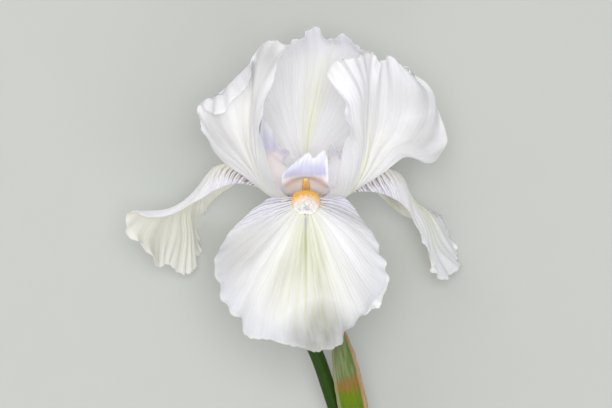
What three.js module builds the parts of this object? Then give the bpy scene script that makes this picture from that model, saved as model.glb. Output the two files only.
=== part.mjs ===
// Bearded iris: one cut bloom with the top of its stem, lying on its back.
// Millimetres. X runs to the right of the bloom, Y towards its top, Z up from the surface it lies on.
// The bloom touches that surface with the far margins of its two side falls and with the cut end.
import * as THREE from 'three';

const DEG = Math.PI / 180;

// Place of the throat, where all the petals meet, and the lean of the bloom's axis from level.
const THROAT = [3.4, 42.2, 52];
const AXIS_LEAN = 20 * DEG;

// Whorls: three falls, and three standards turned a sixth of a turn from them.
const AZIMUTH = { front: 0, left: -120 * DEG, right: 120 * DEG };
const STANDARD_AZIMUTH = { back: 180 * DEG, left: -60 * DEG, right: 60 * DEG };

// Petals.
const PETAL_THICK = 0.62;
const PETAL_COLUMNS = 24;
const PETAL_ROWS = 10;
const SEAT_GAP = 0.3;

// A blade is a net of guide points [across, up, outward] from the claw to the outer margin. The rows run
// across the blade, and smooth curves join them row by row.
const FALL_CLAW = [[-4.9, 0.7, 3.4], [-2.8, 0.6, 5.3], [0, 0.6, 6], [2.8, 0.6, 5.3], [4.9, 0.7, 3.4]];
const STANDARD_CLAW = [[-3.3, 0.6, 2.4], [-1.8, 0.6, 3.6], [0, 0.6, 4], [1.8, 0.6, 3.6], [3.3, 0.6, 2.4]];
const STANDARD_NECK = [[-4.4, 4.6, 6.5], [-2.4, 4.3, 8], [0, 4.2, 8.6], [2.4, 4.3, 8], [4.4, 4.6, 6.5]];

const FALL_NETS = {
  front: [
    FALL_CLAW,
    [[-8, 9.2, 14.6], [-4, 8, 15.6], [0, 7.6, 16.5], [4, 8, 15.6], [8, 9.2, 14.6]],
    [[-14.3, 12.3, 26], [-7, 13.4, 28], [0, 13.4, 29], [7, 13.4, 28], [15, 12.3, 26]],
    [[-28, 3, 34], [-13, 8, 40], [0, 9, 42], [13, 8, 40], [23, 3.5, 33]],
    [[-32.5, -7, 39.5], [-17, -5, 48], [0, -4.5, 52], [16, -5, 48], [28.5, -8.5, 37]],
    [[-31.5, -19.5, 42], [-18, -21, 52], [0, -21, 57], [17, -21, 52], [30.5, -17.5, 39.5]],
    [[-26.5, -28, 43], [-22, -33, 48], [-13, -32, 52], [-4.5, -34.5, 55], [6, -36.5, 56], [12, -33, 52.5],
     [18.5, -25.5, 46.5], [27.5, -23, 43.5]],
  ],
  left: [
    FALL_CLAW,
    [[-7, 6, 14], [-3.5, 7.5, 15.5], [0, 8, 16], [3.5, 7.5, 15.5], [7, 6.5, 14]],
    [[-9, 5, 27], [-5, 9.5, 29], [0, 12, 29.5], [4.5, 11, 28], [8.5, 7.5, 26]],
    [[-14, -3, 41], [-8, 5, 42], [0.5, 9, 40.5], [7, 7.5, 37], [11, 4, 34]],
    [[-16, -13, 53], [-10, -7, 52], [0, -1, 48], [10.5, 0, 45], [20, -2.5, 43.5]],
    [[-17, -17, 56.5], [-9.5, -12, 55], [1, -6.5, 51.5], [14.5, -4, 49], [30, -4.5, 51.5]],
    [[-18.8, -22, 60], [-9.5, -16.5, 57], [2, -12, 54], [17, -7.5, 54], [36, -1, 55.5]],
    [[-17.5, -28, 59.5], [-10.5, -26.5, 58], [0, -23, 55], [17, -17.5, 56.5], [35, -8.5, 58.5]],
    [[-16, -33.5, 57], [-12, -35, 55.5], [-8, -34, 57], [-2, -38.5, 54], [4, -37.5, 54], [10.5, -31.5, 56.5],
     [16.5, -30.5, 55.5], [23, -26, 55.5], [29, -18.5, 56]],
  ],
  right: [
    FALL_CLAW,
    [[-7, 5, 15], [-3.5, 7.5, 15.5], [0, 8, 16], [3.5, 7.5, 15.5], [7, 6, 14]],
    [[-8, 2.6, 29], [-4, 9, 29.5], [0, 11.2, 29.5], [5, 9.5, 28], [4, 2, 29]],
    [[-10, -5, 39.5], [-5, 3.5, 41], [0, 6, 41.5], [4, -2.5, 44.5], [4.5, -13, 46]],
    [[-12, -13, 42.5], [-6.5, -7.5, 44], [-2, -5.5, 47], [2, -9.5, 51.5], [3, -17, 54]],
    [[-14.5, -19, 44.5], [-8, -15, 49], [0, -15, 55.5], [6.5, -16.5, 62], [11.5, -21, 70]],
    [[-16.5, -25, 46.5], [-11, -25.5, 51], [-4.5, -26, 58.5], [3, -27, 66], [11, -27, 71.5]],
    [[-15, -31.5, 50], [-9, -38.5, 58], [-6.5, -38.5, 62], [-5.5, -35.5, 69], [-0.5, -36, 68.5],
     [3, -35, 71], [5.5, -32.5, 73]],
  ],
};

const STANDARD_NETS = {
  back: [
    STANDARD_CLAW,
    STANDARD_NECK,
    [[-11, 9.6, 13.5], [-4, 8.5, 15.5], [0, 8, 16], [3.5, 8.5, 15.5], [6.5, 10, 14]],
    [[-21, 24, 14], [-9, 24, 18.5], [-1, 23, 20], [8, 24, 18.5], [15, 26, 14.5]],
    [[-25, 39, 12], [-13, 37, 20], [-3.5, 36, 22.5], [8, 37, 20], [20, 39, 12]],
    [[-29, 50, 12], [-16, 50, 20], [-6, 49, 23.5], [6, 50, 20.5], [19, 50, 12]],
    [[-25, 54, 13.5], [-17, 57.5, 19.5], [-7, 57.5, 22.5], [5, 57.5, 19], [15, 56, 12.5]],
    [[-24, 56.5, 15], [-19.5, 60, 16.5], [-13.5, 62, 17.5], [-8, 61, 18], [-2.5, 65, 18.5], [2, 63, 16.5],
     [7, 60.5, 15.5], [13, 58, 13.5]],
  ],
  left: [
    STANDARD_CLAW,
    STANDARD_NECK,
    [[-5.8, 8.2, 15.5], [-4, 8, 16], [0, 8, 16.2], [4, 9.5, 15.5], [7, 11.5, 15]],
    [[-11, 14.5, 23], [-7, 16, 22], [0, 18, 21], [6, 19.5, 21.5], [13, 22, 22.3]],
    [[-20, 18.8, 27.3], [-11, 25, 27.5], [0, 28, 24], [8, 30, 25.5], [16.5, 34, 27.4]],
    [[-22, 28, 32], [-12, 34, 30.5], [0, 38, 25], [9, 41, 27], [18, 43, 30.5]],
    [[-22, 36.5, 34.5], [-13, 44, 30.5], [0, 51, 24.5], [10, 54, 26], [20, 54, 29.5]],
    [[-20, 41, 35], [-11.5, 47.5, 30], [-1.5, 58, 24], [8, 65, 23], [20, 64, 24]],
    [[-19.5, 40, 34.5], [-7.5, 39.5, 33.5], [-1, 47.5, 29], [3.5, 55.5, 25.5], [4, 66, 23.5], [12, 72, 20.5],
     [18.5, 71, 18.5]],
  ],
  right: [
    STANDARD_CLAW,
    STANDARD_NECK,
    [[-7, 11.5, 15], [-4, 8.5, 16.5], [0, 7.5, 17.5], [4, 9, 18], [7.5, 12, 17.5]],
    [[-12, 20, 20.7], [-6, 18, 23], [0, 17, 23.6], [7, 15.5, 27], [12, 18, 30]],
    [[-17.5, 33, 25.5], [-8, 30, 27.5], [0, 28, 26.5], [12, 25, 32.5], [17.5, 19.8, 32.5]],
    [[-19.5, 39.2, 28.2], [-9, 36, 28.5], [0, 33.5, 27], [15, 28.5, 35], [28.5, 15.8, 38.5]],
    [[-20, 44.5, 28.5], [-10, 42, 29], [0, 39, 27.2], [16.5, 35, 34.5], [31, 24, 42.5]],
    [[-19.5, 51.5, 29], [-10, 52, 29.5], [0, 50, 27.5], [15, 46, 34], [30, 41.5, 40.5]],
    [[-20, 63, 19.5], [-16, 65.5, 22], [-12, 66.5, 25], [-6, 66, 26.5], [0, 66, 28.5], [1.5, 62, 30],
     [6, 62.5, 31], [11, 60, 33], [13, 55.5, 33], [18.5, 52.5, 34.5]],
  ],
};

// Ruffles: a few broad waves and a fine crimp that grow towards the margin, as heights off the blade, and
// shallow notches that cut into the outer margin by a share of the blade's length.
const RUFFLES = {
  fall_front: { waves: 3, height: 1.4, turn: 0.2, crimp: 0.5 },
  fall_left: { waves: 2, height: 0.8, turn: 0.6, crimp: 0.4 },
  fall_right: { waves: 2, height: 0.8, turn: 0.1, crimp: 0.4 },
  standard_back: { waves: 4, height: 1.2, turn: 0.35, crimp: 0.5 },
  standard_left: { waves: 3, height: 0.6, turn: 0.8, crimp: 0.3 },
  standard_right: { waves: 3, height: 1, turn: 0.5, crimp: 0.4 },
};
const CRIMPS = 8;
const NOTCHES = 10;
const NOTCH = 0.012;
const RUFFLE_START = 0.35;
const SIDE_RUFFLE = 1.6;
const MIDRIB_HEIGHT = 0.45;
const MIDRIB_WIDTH = 0.035;

// Style arms: an arched arm from the column to its lip, and a two-lobed crest that stands up from it.
const ARM_THICK = 0.7;
const ARM_NETS = {
  front: [
    [[-1.8, 3.6, 1.3], [0, 3.6, 2.4], [1.8, 3.6, 1.3]],
    [[-7.2, 8, 8.2], [0, 10.2, 9], [7.2, 8, 8.2]],
    [[-8.8, 11.4, 11.8], [0, 15.6, 11.4], [8.6, 11.4, 11.8]],
    [[-9, 14.6, 15.4], [-5, 17.6, 15.6], [0, 18.4, 16], [5, 17.6, 15.6], [8.5, 14.6, 15.4]],
    [[-8.8, 18.6, 16], [-4.5, 20.8, 16], [0, 22, 15.5], [4, 22, 15.5], [8.3, 20.5, 15.5]],
    [[-8, 19.8, 15.6], [-5, 22.4, 14.9], [-1.5, 25, 14.3], [1.1, 27, 14.2], [2.5, 24.8, 14.5],
     [6.8, 28, 14.8], [8, 24.6, 15]],
  ],
  left: [
    [[-1.8, 3.6, 1.3], [0, 3.6, 2.4], [1.8, 3.6, 1.3]],
    [[-5.6, 8.4, 7], [0, 11.6, 6.8], [7, 7.2, 7.2]],
    [[-6.8, 14, 14.2], [0, 18.4, 15.6], [9.5, 13.4, 14]],
    [[-7.8, 16.4, 12.8], [0, 20.5, 14.5], [8.6, 24, 14.2]],
    [[-7.4, 18.4, 11.8], [-3.2, 20.8, 12], [1, 24.5, 12.8], [4, 30.5, 12.8], [8, 35.5, 14.4],
     [9.5, 29, 14.5]],
  ],
  right: [
    [[-1.8, 3.6, 1.3], [0, 3.6, 2.4], [1.8, 3.6, 1.3]],
    [[-7, 7.2, 7.2], [0, 11.6, 6.8], [5.6, 8.4, 7]],
    [[-9.2, 12.6, 12.6], [0, 18.2, 15.6], [6.8, 14, 14.2]],
    [[-8, 18.2, 11.5], [0, 19.8, 14], [6.4, 17.6, 13.6]],
    [[-8.5, 22, 10.5], [-5, 23, 11], [-1, 21, 12.5], [2.5, 22.5, 12.5], [5.5, 19.5, 13]],
  ],
};
const ARM_COLUMNS = 12;
const ARM_ROWS = 7;

// Beards: a strip along the midrib of each fall, from the throat to the bend. The lengths along the fall
// and the half width across it are shares of the fall's own.
const BEARD_REACH = { front: 0.48, left: 0.33, right: 0.33 };
const BEARD = {
  from: 0.1,
  halfWidth: 0.25,
  taper: 0.5,
  height: 2.2,
  rim: 0.3,
  tufts: 7,
  tuftRise: 0.14,
  columns: 6,
  steps: 14,
};

// Stamens: a filament from the claw of the fall, and an anther under the style arm.
const STAMEN_PATH = [[0, 3, 7.2], [0, 6.6, 9.2], [0, 9.4, 11.2], [0, 13.2, 14.2], [0, 17.5, 16.9]];
const STAMEN = { filament: 0.7, anther: 1.4, from: 0.42, sides: 6, steps: 14 };

// Floral tube and ovary, from the rim that carries the petals down to the top of the stem.
const TUBE_PROFILE = [
  [0, -46], [2.9, -46], [3.8, -42], [4.2, -36], [4, -29], [3, -23], [2.7, -14], [3.4, -6], [6.2, -1.2],
  [6.7, -0.1], [3, -0.1], [2.2, 3.2], [0, 3.2],
];
const TUBE_SIDES = 18;

// Stem and side bud, as places [x, y, z] from the throat. The stem swells at the node that bears the bud.
const STEM_PATH = [
  [0, -43.75, -15.92], [0.4, -48, -17.5], [5.2, -60, -21.8], [10.8, -77, -27.2], [20.5, -107, -36.4],
  [35, -150, -49.2],
];
const STEM = { radius: 2.75, node: 0.75, nodeAt: 0.62, nodeWidth: 0.04, sides: 12, steps: 24 };
const BUD_PATH = [
  [23.1, -107.5, -31.2], [21.2, -99, -27.8], [19.6, -85, -23.2], [16.8, -70, -19.5], [14.9, -60, -17.5],
];
const BUD = { tip: 0.3, swell: 3, sides: 12, steps: 14 };
const SPATHE = { neck: 0.3, swell: 4.8, thick: 0.6, columns: 8, rows: 12, open: 8 * DEG };
const SPATHE_TIP = [12.4, -46, -15.8];

const COLOURS = {
  standard: [0xf2f1f4, 0.62],
  fall: [0xf4f3ef, 0.66],
  beard: [0xf2b544, 0.9],
  style_arm: [0xe3e2f5, 0.6],
  stamen: [0xdc9c4a, 0.85],
  floral_tube: [0x8fa35c, 0.6],
  stem: [0x4d6b26, 0.55],
  bud: [0xb9bf7d, 0.6],
  spathe: [0xc9bd8f, 0.75],
};

function vector([x, y, z]) {
  return new THREE.Vector3(x, y, z);
}

// One closed mesh from its points and triangles.
function solid(name, kind, points, triangles) {
  const geometry = new THREE.BufferGeometry();
  geometry.setAttribute('position', new THREE.Float32BufferAttribute(points.flatMap((p) => p.toArray()), 3));
  geometry.setIndex(triangles.flat());
  geometry.computeVertexNormals();
  const [color, roughness] = COLOURS[kind];
  const mesh = new THREE.Mesh(geometry, new THREE.MeshStandardMaterial({ color, roughness, metalness: 0 }));
  mesh.name = name;
  return mesh;
}

// The surface through a net: smooth curves across the blade, then smooth curves along it.
function netSurface(net) {
  const acrossCurves = net.map((row) => new THREE.CatmullRomCurve3(row.map(vector)));
  return (u, v) => new THREE.CatmullRomCurve3(acrossCurves.map((curve) => curve.getPoint(u))).getPoint(v);
}

// The surface's normal, from short steps along both of its parameters.
function surfaceNormal(surface, u, v) {
  const step = 0.004;
  const [u0, u1] = [Math.max(0, u - step), Math.min(1, u + step)];
  const [v0, v1] = [Math.max(0, v - step), Math.min(1, v + step)];
  const along = surface(u, v1).sub(surface(u, v0));
  return surface(u1, v).sub(surface(u0, v)).cross(along).normalize();
}

// A net's surface with its ruffles. The height off the blade grows from RUFFLE_START to the outer margin,
// and to the side margins SIDE_RUFFLE times as soon.
function ruffledSurface(net, { waves, height, turn, crimp }) {
  const plain = netSurface(net);
  return (u, v) => {
    const side = Math.abs(2 * u - 1);
    const reach = Math.max(v, side * Math.min(1, SIDE_RUFFLE * v));
    const grow = Math.max(0, (reach - RUFFLE_START) / (1 - RUFFLE_START)) ** 2;
    const broad = height * Math.sin(2 * Math.PI * (waves * u + turn));
    const fine = Math.sin(2 * Math.PI * CRIMPS * u);
    const cut = v * (1 - NOTCH * (1 + Math.sin(2 * Math.PI * NOTCHES * u)) * v ** 4);
    return plain(u, cut).addScaledVector(surfaceNormal(plain, u, v), grow * (broad + crimp * fine * grow));
  };
}

// A closed blade between two skins. Both skins are split into triangles alike, and a rim joins them.
function blade(name, kind, upper, lower, columns, rows) {
  const points = [];
  for (const skin of [upper, lower]) {
    for (let j = 0; j <= rows; j += 1) {
      for (let i = 0; i <= columns; i += 1) points.push(skin(i / columns, j / rows));
    }
  }
  const width = columns + 1;
  const under = width * (rows + 1);
  const triangles = [];
  for (let j = 0; j < rows; j += 1) {
    for (let i = 0; i < columns; i += 1) {
      const [a, b, c, d] = [j * width + i, j * width + i + 1, (j + 1) * width + i + 1, (j + 1) * width + i];
      triangles.push([a, b, c], [a, c, d]);
      triangles.push([under + a, under + c, under + b], [under + a, under + d, under + c]);
    }
  }
  const rim = [];
  for (let i = 0; i < columns; i += 1) rim.push(i);
  for (let j = 0; j < rows; j += 1) rim.push(j * width + columns);
  for (let i = columns; i > 0; i -= 1) rim.push(rows * width + i);
  for (let j = rows; j > 0; j -= 1) rim.push(j * width);
  rim.forEach((p, k) => {
    const q = rim[(k + 1) % rim.length];
    triangles.push([q, p, under + p], [q, under + p, under + q]);
  });
  return solid(name, kind, points, triangles);
}

// A petal or arm of even thickness, with its midrib raised on the outer face, along the normal.
function petal(name, kind, surface, thick, columns, rows, rib) {
  const skin = (side, ribHeight) => (u, v) => {
    const ridge = ribHeight * Math.exp(-(((u - 0.5) / MIDRIB_WIDTH) ** 2)) * (1 - v);
    return surface(u, v).addScaledVector(surfaceNormal(surface, u, v), side * (thick / 2 + ridge));
  };
  return blade(name, kind, skin(1, rib), skin(-1, 0), columns, rows);
}

// A solid of round sections along a path, closed by a face at each end.
function rod(name, kind, path, radiusAt, sides, steps) {
  const curve = new THREE.CatmullRomCurve3(path.map(vector));
  const frames = curve.computeFrenetFrames(steps);
  const points = [];
  for (let i = 0; i <= steps; i += 1) {
    const centre = curve.getPointAt(i / steps);
    const radius = radiusAt(i / steps);
    for (let j = 0; j < sides; j += 1) {
      const angle = (2 * Math.PI * j) / sides;
      const point = centre.clone().addScaledVector(frames.normals[i], radius * Math.cos(angle));
      points.push(point.addScaledVector(frames.binormals[i], radius * Math.sin(angle)));
    }
  }
  const triangles = [];
  for (let i = 0; i < steps; i += 1) {
    for (let j = 0; j < sides; j += 1) {
      const next = (j + 1) % sides;
      const [a, b, c, d] = [i * sides + j, i * sides + next, (i + 1) * sides + next, (i + 1) * sides + j];
      triangles.push([a, b, c], [a, c, d]);
    }
  }
  const last = steps * sides;
  for (let j = 1; j < sides - 1; j += 1) {
    triangles.push([0, j + 1, j], [last, last + j, last + j + 1]);
  }
  return solid(name, kind, points, triangles);
}

// The beard lies on the inner face of its fall: a lower skin that follows the fall, and a crown with rows
// of tufts. It is slimmer where the blade opens.
function beard(name, fall, reach) {
  const place = (s, v, lift) => {
    const u = 0.5 + (s - 0.5) * 2 * BEARD.halfWidth * (1 - BEARD.taper * v);
    const along = BEARD.from + (reach - BEARD.from) * v;
    return fall(u, along).addScaledVector(surfaceNormal(fall, u, along), lift);
  };
  const seat = PETAL_THICK / 2 + SEAT_GAP;
  const crown = (s, v) => {
    const round = Math.sqrt(Math.max(0, 1 - (2 * s - 1) ** 2));
    const ends = Math.sqrt(Math.sin(Math.PI * (0.06 + 0.9 * v)));
    const tuft = Math.sin(2 * Math.PI * (BEARD.tufts * v + 0.25 * Math.sin(9 * s)));
    return BEARD.height * round * ends * (1 + BEARD.tuftRise * tuft);
  };
  const lower = (s, v) => place(s, v, -seat);
  const upper = (s, v) => place(s, v, -seat - BEARD.rim - crown(s, v));
  return blade(name, 'beard', lower, upper, BEARD.columns, BEARD.steps);
}

function falls() {
  const group = new THREE.Group();
  for (const [side, net] of Object.entries(FALL_NETS)) {
    const fall = ruffledSurface(net, RUFFLES[`fall_${side}`]);
    const whorl = new THREE.Group();
    whorl.rotation.y = AZIMUTH[side];
    whorl.add(petal(`fall_${side}`, 'fall', fall, PETAL_THICK, PETAL_COLUMNS, PETAL_ROWS, MIDRIB_HEIGHT));
    whorl.add(beard(`beard_${side}`, fall, BEARD_REACH[side]));
    whorl.add(petal(`style_arm_${side}`, 'style_arm', netSurface(ARM_NETS[side]), ARM_THICK,
      ARM_COLUMNS, ARM_ROWS, 0));
    whorl.add(rod(`stamen_${side}`, 'stamen', STAMEN_PATH, stamenRadius, STAMEN.sides, STAMEN.steps));
    group.add(whorl);
  }
  return group;
}

// A slender filament as far as STAMEN.from, then the anther's long oval.
function stamenRadius(s) {
  if (s < STAMEN.from) return STAMEN.filament;
  const along = (s - STAMEN.from) / (1 - STAMEN.from);
  return STAMEN.anther * Math.sqrt(Math.sin(Math.PI * (0.08 + 0.84 * along)));
}

function standards() {
  const group = new THREE.Group();
  for (const [side, net] of Object.entries(STANDARD_NETS)) {
    const surface = ruffledSurface(net, RUFFLES[`standard_${side}`]);
    const mesh = petal(`standard_${side}`, 'standard', surface, PETAL_THICK, PETAL_COLUMNS, PETAL_ROWS,
      MIDRIB_HEIGHT);
    mesh.rotation.y = STANDARD_AZIMUTH[side];
    group.add(mesh);
  }
  return group;
}

// The rim, tube, ovary and the short column that carries the style arms, turned round the bloom's axis.
function floralTube() {
  const geometry = new THREE.LatheGeometry(TUBE_PROFILE.map(([r, y]) => new THREE.Vector2(r, y)), TUBE_SIDES);
  const [color, roughness] = COLOURS.floral_tube;
  const mesh = new THREE.Mesh(geometry, new THREE.MeshStandardMaterial({ color, roughness, metalness: 0 }));
  mesh.name = 'floral_tube';
  return mesh;
}

function stem() {
  const swell = (s) => STEM.node * Math.exp(-(((s - STEM.nodeAt) / STEM.nodeWidth) ** 2));
  return rod('stem', 'stem', STEM_PATH, (s) => STEM.radius + swell(s), STEM.sides, STEM.steps);
}

function bud() {
  const radiusAt = (s) => BUD.tip + BUD.swell * Math.sin(Math.PI * (0.06 + 0.88 * s)) ** 1.2;
  return rod('bud', 'bud', BUD_PATH, radiusAt, BUD.sides, BUD.steps);
}

// Each valve is a boat-shaped half shell round the bud, which narrows to the stem and to its tip. Its middle
// is at the given angle round the bud, and the back valve is a little shorter.
function spathe(name, middle, reach) {
  const axis = new THREE.CatmullRomCurve3([...BUD_PATH, SPATHE_TIP].map(vector));
  const surface = (radiusShift) => (u, v) => {
    const along = v * reach;
    const centre = axis.getPointAt(along);
    const tangent = axis.getTangentAt(along);
    const side = new THREE.Vector3(0, 0, 1).cross(tangent).normalize();
    const face = tangent.clone().cross(side).normalize();
    const swell = Math.sin(Math.PI * (0.04 + 0.95 * v)) ** 0.7;
    const radius = SPATHE.neck + SPATHE.swell * swell + radiusShift;
    const spread = (Math.PI / 2 - SPATHE.open) * (2 * u - 1);
    const angle = middle + spread;
    const point = centre.addScaledVector(face, radius * Math.cos(angle));
    return point.addScaledVector(side, -radius * Math.sin(angle));
  };
  return blade(name, 'spathe', surface(SPATHE.thick), surface(0), SPATHE.columns, SPATHE.rows);
}

const bloom = new THREE.Group();
bloom.rotation.x = AXIS_LEAN;
bloom.add(falls(), standards(), floralTube());

const group = new THREE.Group();
const cutFlower = new THREE.Group();
cutFlower.position.set(...THROAT);
cutFlower.add(bloom, stem(), bud(), spathe('spathe_front', 0, 1), spathe('spathe_back', Math.PI, 0.97));
group.add(cutFlower);

export default group;
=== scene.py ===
import logging
import math
from dataclasses import dataclass, field, replace
from enum import Enum
from typing import Sequence

import bpy
import numpy as np
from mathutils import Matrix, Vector


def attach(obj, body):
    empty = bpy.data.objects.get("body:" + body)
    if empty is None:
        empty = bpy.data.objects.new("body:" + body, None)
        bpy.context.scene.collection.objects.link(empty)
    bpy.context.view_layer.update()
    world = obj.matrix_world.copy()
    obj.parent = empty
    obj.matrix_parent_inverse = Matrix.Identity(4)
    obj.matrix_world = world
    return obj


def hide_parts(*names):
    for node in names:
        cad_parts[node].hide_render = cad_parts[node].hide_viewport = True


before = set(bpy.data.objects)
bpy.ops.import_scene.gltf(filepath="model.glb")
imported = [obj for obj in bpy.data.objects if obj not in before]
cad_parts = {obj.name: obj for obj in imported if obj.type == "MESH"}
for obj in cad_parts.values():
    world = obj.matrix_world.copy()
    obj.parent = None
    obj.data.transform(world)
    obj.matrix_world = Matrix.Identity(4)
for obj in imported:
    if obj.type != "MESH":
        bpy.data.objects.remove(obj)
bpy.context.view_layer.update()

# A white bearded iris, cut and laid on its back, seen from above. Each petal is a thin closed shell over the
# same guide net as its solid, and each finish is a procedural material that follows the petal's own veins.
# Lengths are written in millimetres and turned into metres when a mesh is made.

LOG = logging.getLogger("iris")
MM = 0.001
THROAT = np.array([3.4, 42.2, 52.0])
AXIS_LEAN = math.radians(20.0)
ARRAY = np.ndarray
NET = Sequence[Sequence[Sequence[float]]]


class Whorl(Enum):
    """Where a petal stands round the bloom's axis, in degrees."""

    FALL_FRONT = 0.0
    FALL_LEFT = -120.0
    FALL_RIGHT = 120.0
    STANDARD_BACK = 180.0
    STANDARD_LEFT = -60.0
    STANDARD_RIGHT = 60.0


class Skin(Enum):
    """The two faces of a blade: the sign of its normal."""

    OUTER = 1.0
    INNER = -1.0


# --------------------------------------------------------------------------------------------------------
# Shapes as whole arrays
# --------------------------------------------------------------------------------------------------------


def smooth_step(low: float, high: float, x: ARRAY) -> ARRAY:
    """Rises smoothly from 0 at low to 1 at high.

    Args:
        low: Where the rise starts.
        high: Where the rise ends.
        x: Values to test.

    Returns:
        3t^2 - 2t^3, with t the clipped share of the way from low to high.
    """
    t = np.clip((np.asarray(x, float) - low) / (high - low), 0.0, 1.0)
    return t * t * (3.0 - 2.0 * t)


def spline(points: ARRAY, t: ARRAY) -> ARRAY:
    """Smooth curve through points, for many columns of points at once.

    The curve is a centripetal Catmull-Rom spline: between two points it is a cubic whose end slopes come from
    the neighbours, weighted by the square root of the distances.

    Args:
        points: Guide points, shape (n, ..., 3).
        t: Places along the curve, 0 to 1, shape (m,).

    Returns:
        Points on the curve, shape (m, ..., 3).
    """
    points = np.asarray(points, float)
    spans = len(points) - 1
    place = np.clip(np.atleast_1d(t), 0.0, 1.0) * spans
    i = np.minimum(place.astype(int), spans - 1)
    w = (place - i).reshape((-1,) + (1,) * (points.ndim - 1))
    padded = np.concatenate([[2 * points[0] - points[1]], points, [2 * points[-1] - points[-2]]])
    p0, p1, p2, p3 = (padded[i + k] for k in range(4))

    def gap(a: ARRAY, b: ARRAY) -> ARRAY:
        """Square root of the distance from a to b."""
        return np.maximum(np.sum((a - b) ** 2, axis=-1, keepdims=True), 1e-12) ** 0.25

    d0, d1, d2 = gap(p0, p1), gap(p1, p2), gap(p2, p3)
    slope1 = ((p1 - p0) / d0 - (p2 - p0) / (d0 + d1) + (p2 - p1) / d1) * d1
    slope2 = ((p2 - p1) / d1 - (p3 - p1) / (d1 + d2) + (p3 - p2) / d2) * d1
    quad = -3 * p1 + 3 * p2 - 2 * slope1 - slope2
    cube = 2 * p1 - 2 * p2 + slope1 + slope2
    return p1 + slope1 * w + quad * w**2 + cube * w**3


def net_surface(net: NET, u: ARRAY, v: ARRAY) -> ARRAY:
    """Surface through a net: smooth curves across it, then smooth curves along it.

    Args:
        net: Rows of guide points [across, up, outward], claw first.
        u: Places across, 0 to 1.
        v: Places along, 0 to 1.

    Returns:
        Grid of points, shape (len(v), len(u), 3).
    """
    rows = np.stack([spline(np.array(row, float), u) for row in net])
    return spline(rows, v)


def grid_normals(grid: ARRAY) -> ARRAY:
    """Unit normals of a grid: the cross product of its steps across and along."""
    normal = np.cross(np.gradient(grid, axis=1), np.gradient(grid, axis=0))
    return normal / np.maximum(np.linalg.norm(normal, axis=-1, keepdims=True), 1e-12)


def resample(grid: ARRAY, places: ARRAY) -> ARRAY:
    """Slides each point of a grid along its own column.

    Args:
        grid: Points, shape (rows, columns, 3), evenly spaced along the columns.
        places: New place of each point, 0 to 1 along its column, shape (rows, columns).

    Returns:
        Linear blends of the two nearest rows, same shape as grid.
    """
    at = np.clip(places, 0.0, 1.0) * (len(grid) - 1)
    low = np.minimum(at.astype(int), len(grid) - 2)
    part = (at - low)[..., None]
    column = np.broadcast_to(np.arange(grid.shape[1]), low.shape)
    return grid[low, column] * (1 - part) + grid[low + 1, column] * part


def to_row(points: ARRAY, azimuth: float) -> ARRAY:
    """Turns petal points [across, up, outward] into metres in the part's frame.

    The petal is turned round the bloom's axis, the axis is leant back, and the throat is put in its place.

    Args:
        points: Points in millimetres, shape (..., 3).
        azimuth: Angle round the bloom's axis, in degrees.

    Returns:
        Points in metres, same shape.
    """
    a = math.radians(azimuth)
    across, up, out = points[..., 0], points[..., 1], points[..., 2]
    x = out * math.sin(a) + across * math.cos(a)
    front = out * math.cos(a) - across * math.sin(a)
    y = up * math.cos(AXIS_LEAN) - front * math.sin(AXIS_LEAN)
    z = up * math.sin(AXIS_LEAN) + front * math.cos(AXIS_LEAN)
    return (np.stack([x, y, z], axis=-1) + THROAT) * MM


@dataclass
class MeshData:
    """Vertices, faces and per-vertex values, gathered before a Blender mesh is made."""

    points: ARRAY
    quads: ARRAY
    triangles: ARRAY = field(default_factory=lambda: np.zeros((0, 3), int))
    values: dict[str, ARRAY] = field(default_factory=dict)

    def joined(self, other: "MeshData") -> "MeshData":
        """Puts another mesh beside this one.

        Args:
            other: The mesh to add.

        Returns:
            Both as one mesh, with the values that both have.
        """
        shift = len(self.points)
        shared = sorted(self.values.keys() & other.values.keys())
        return MeshData(
            np.concatenate([self.points, other.points]),
            np.concatenate([self.quads, other.quads + shift]),
            np.concatenate([self.triangles, other.triangles + shift]),
            {name: np.concatenate([self.values[name], other.values[name]]) for name in shared},
        )


def grid_quads(rows: int, columns: int, around: bool = False) -> ARRAY:
    """Quads of a grid of vertices, counter-clockwise seen from the side that across x along points to.

    Args:
        rows: Number of vertex rows.
        columns: Number of vertex columns.
        around: True if the last column joins the first.

    Returns:
        Vertex indices, shape (n, 4).
    """
    index = np.arange(rows * columns).reshape(rows, columns)
    right = np.roll(index, -1, axis=1)
    if not around:
        index, right = index[:, :-1], right[:, :-1]
    return np.stack([index[:-1], right[:-1], right[1:], index[1:]], axis=-1).reshape(-1, 4)


def shell(middle: ARRAY, half_thick: ARRAY, values: dict[str, ARRAY]) -> MeshData:
    """Closed thin blade: the two skins lie half a thickness to each side of a middle surface.

    Args:
        middle: Grid of points, shape (rows, columns, 3).
        half_thick: Half the thickness at each point, shape (rows, columns).
        values: Per-point values that both skins carry.

    Returns:
        The blade with a value named inner, 0 on the outer skin and 1 on the inner one.
    """
    rows, columns = middle.shape[:2]
    lift = grid_normals(middle) * half_thick[..., None]
    skins = [(middle + side.value * lift).reshape(-1, 3) for side in Skin]
    quads = grid_quads(rows, columns)
    count = rows * columns
    index = np.arange(count).reshape(rows, columns)
    rim = np.concatenate([index[0, :-1], index[:-1, -1], index[-1, :0:-1], index[:0:-1, 0]])
    after = np.roll(rim, -1)
    edge = np.stack([after, rim, rim + count, after + count], axis=-1)
    both = {name: np.tile(value.reshape(-1), 2) for name, value in values.items()}
    both["inner"] = np.repeat([0.0, 1.0], count)
    return MeshData(
        np.concatenate(skins), np.concatenate([quads, quads[:, ::-1] + count, edge]), values=both
    )


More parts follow.
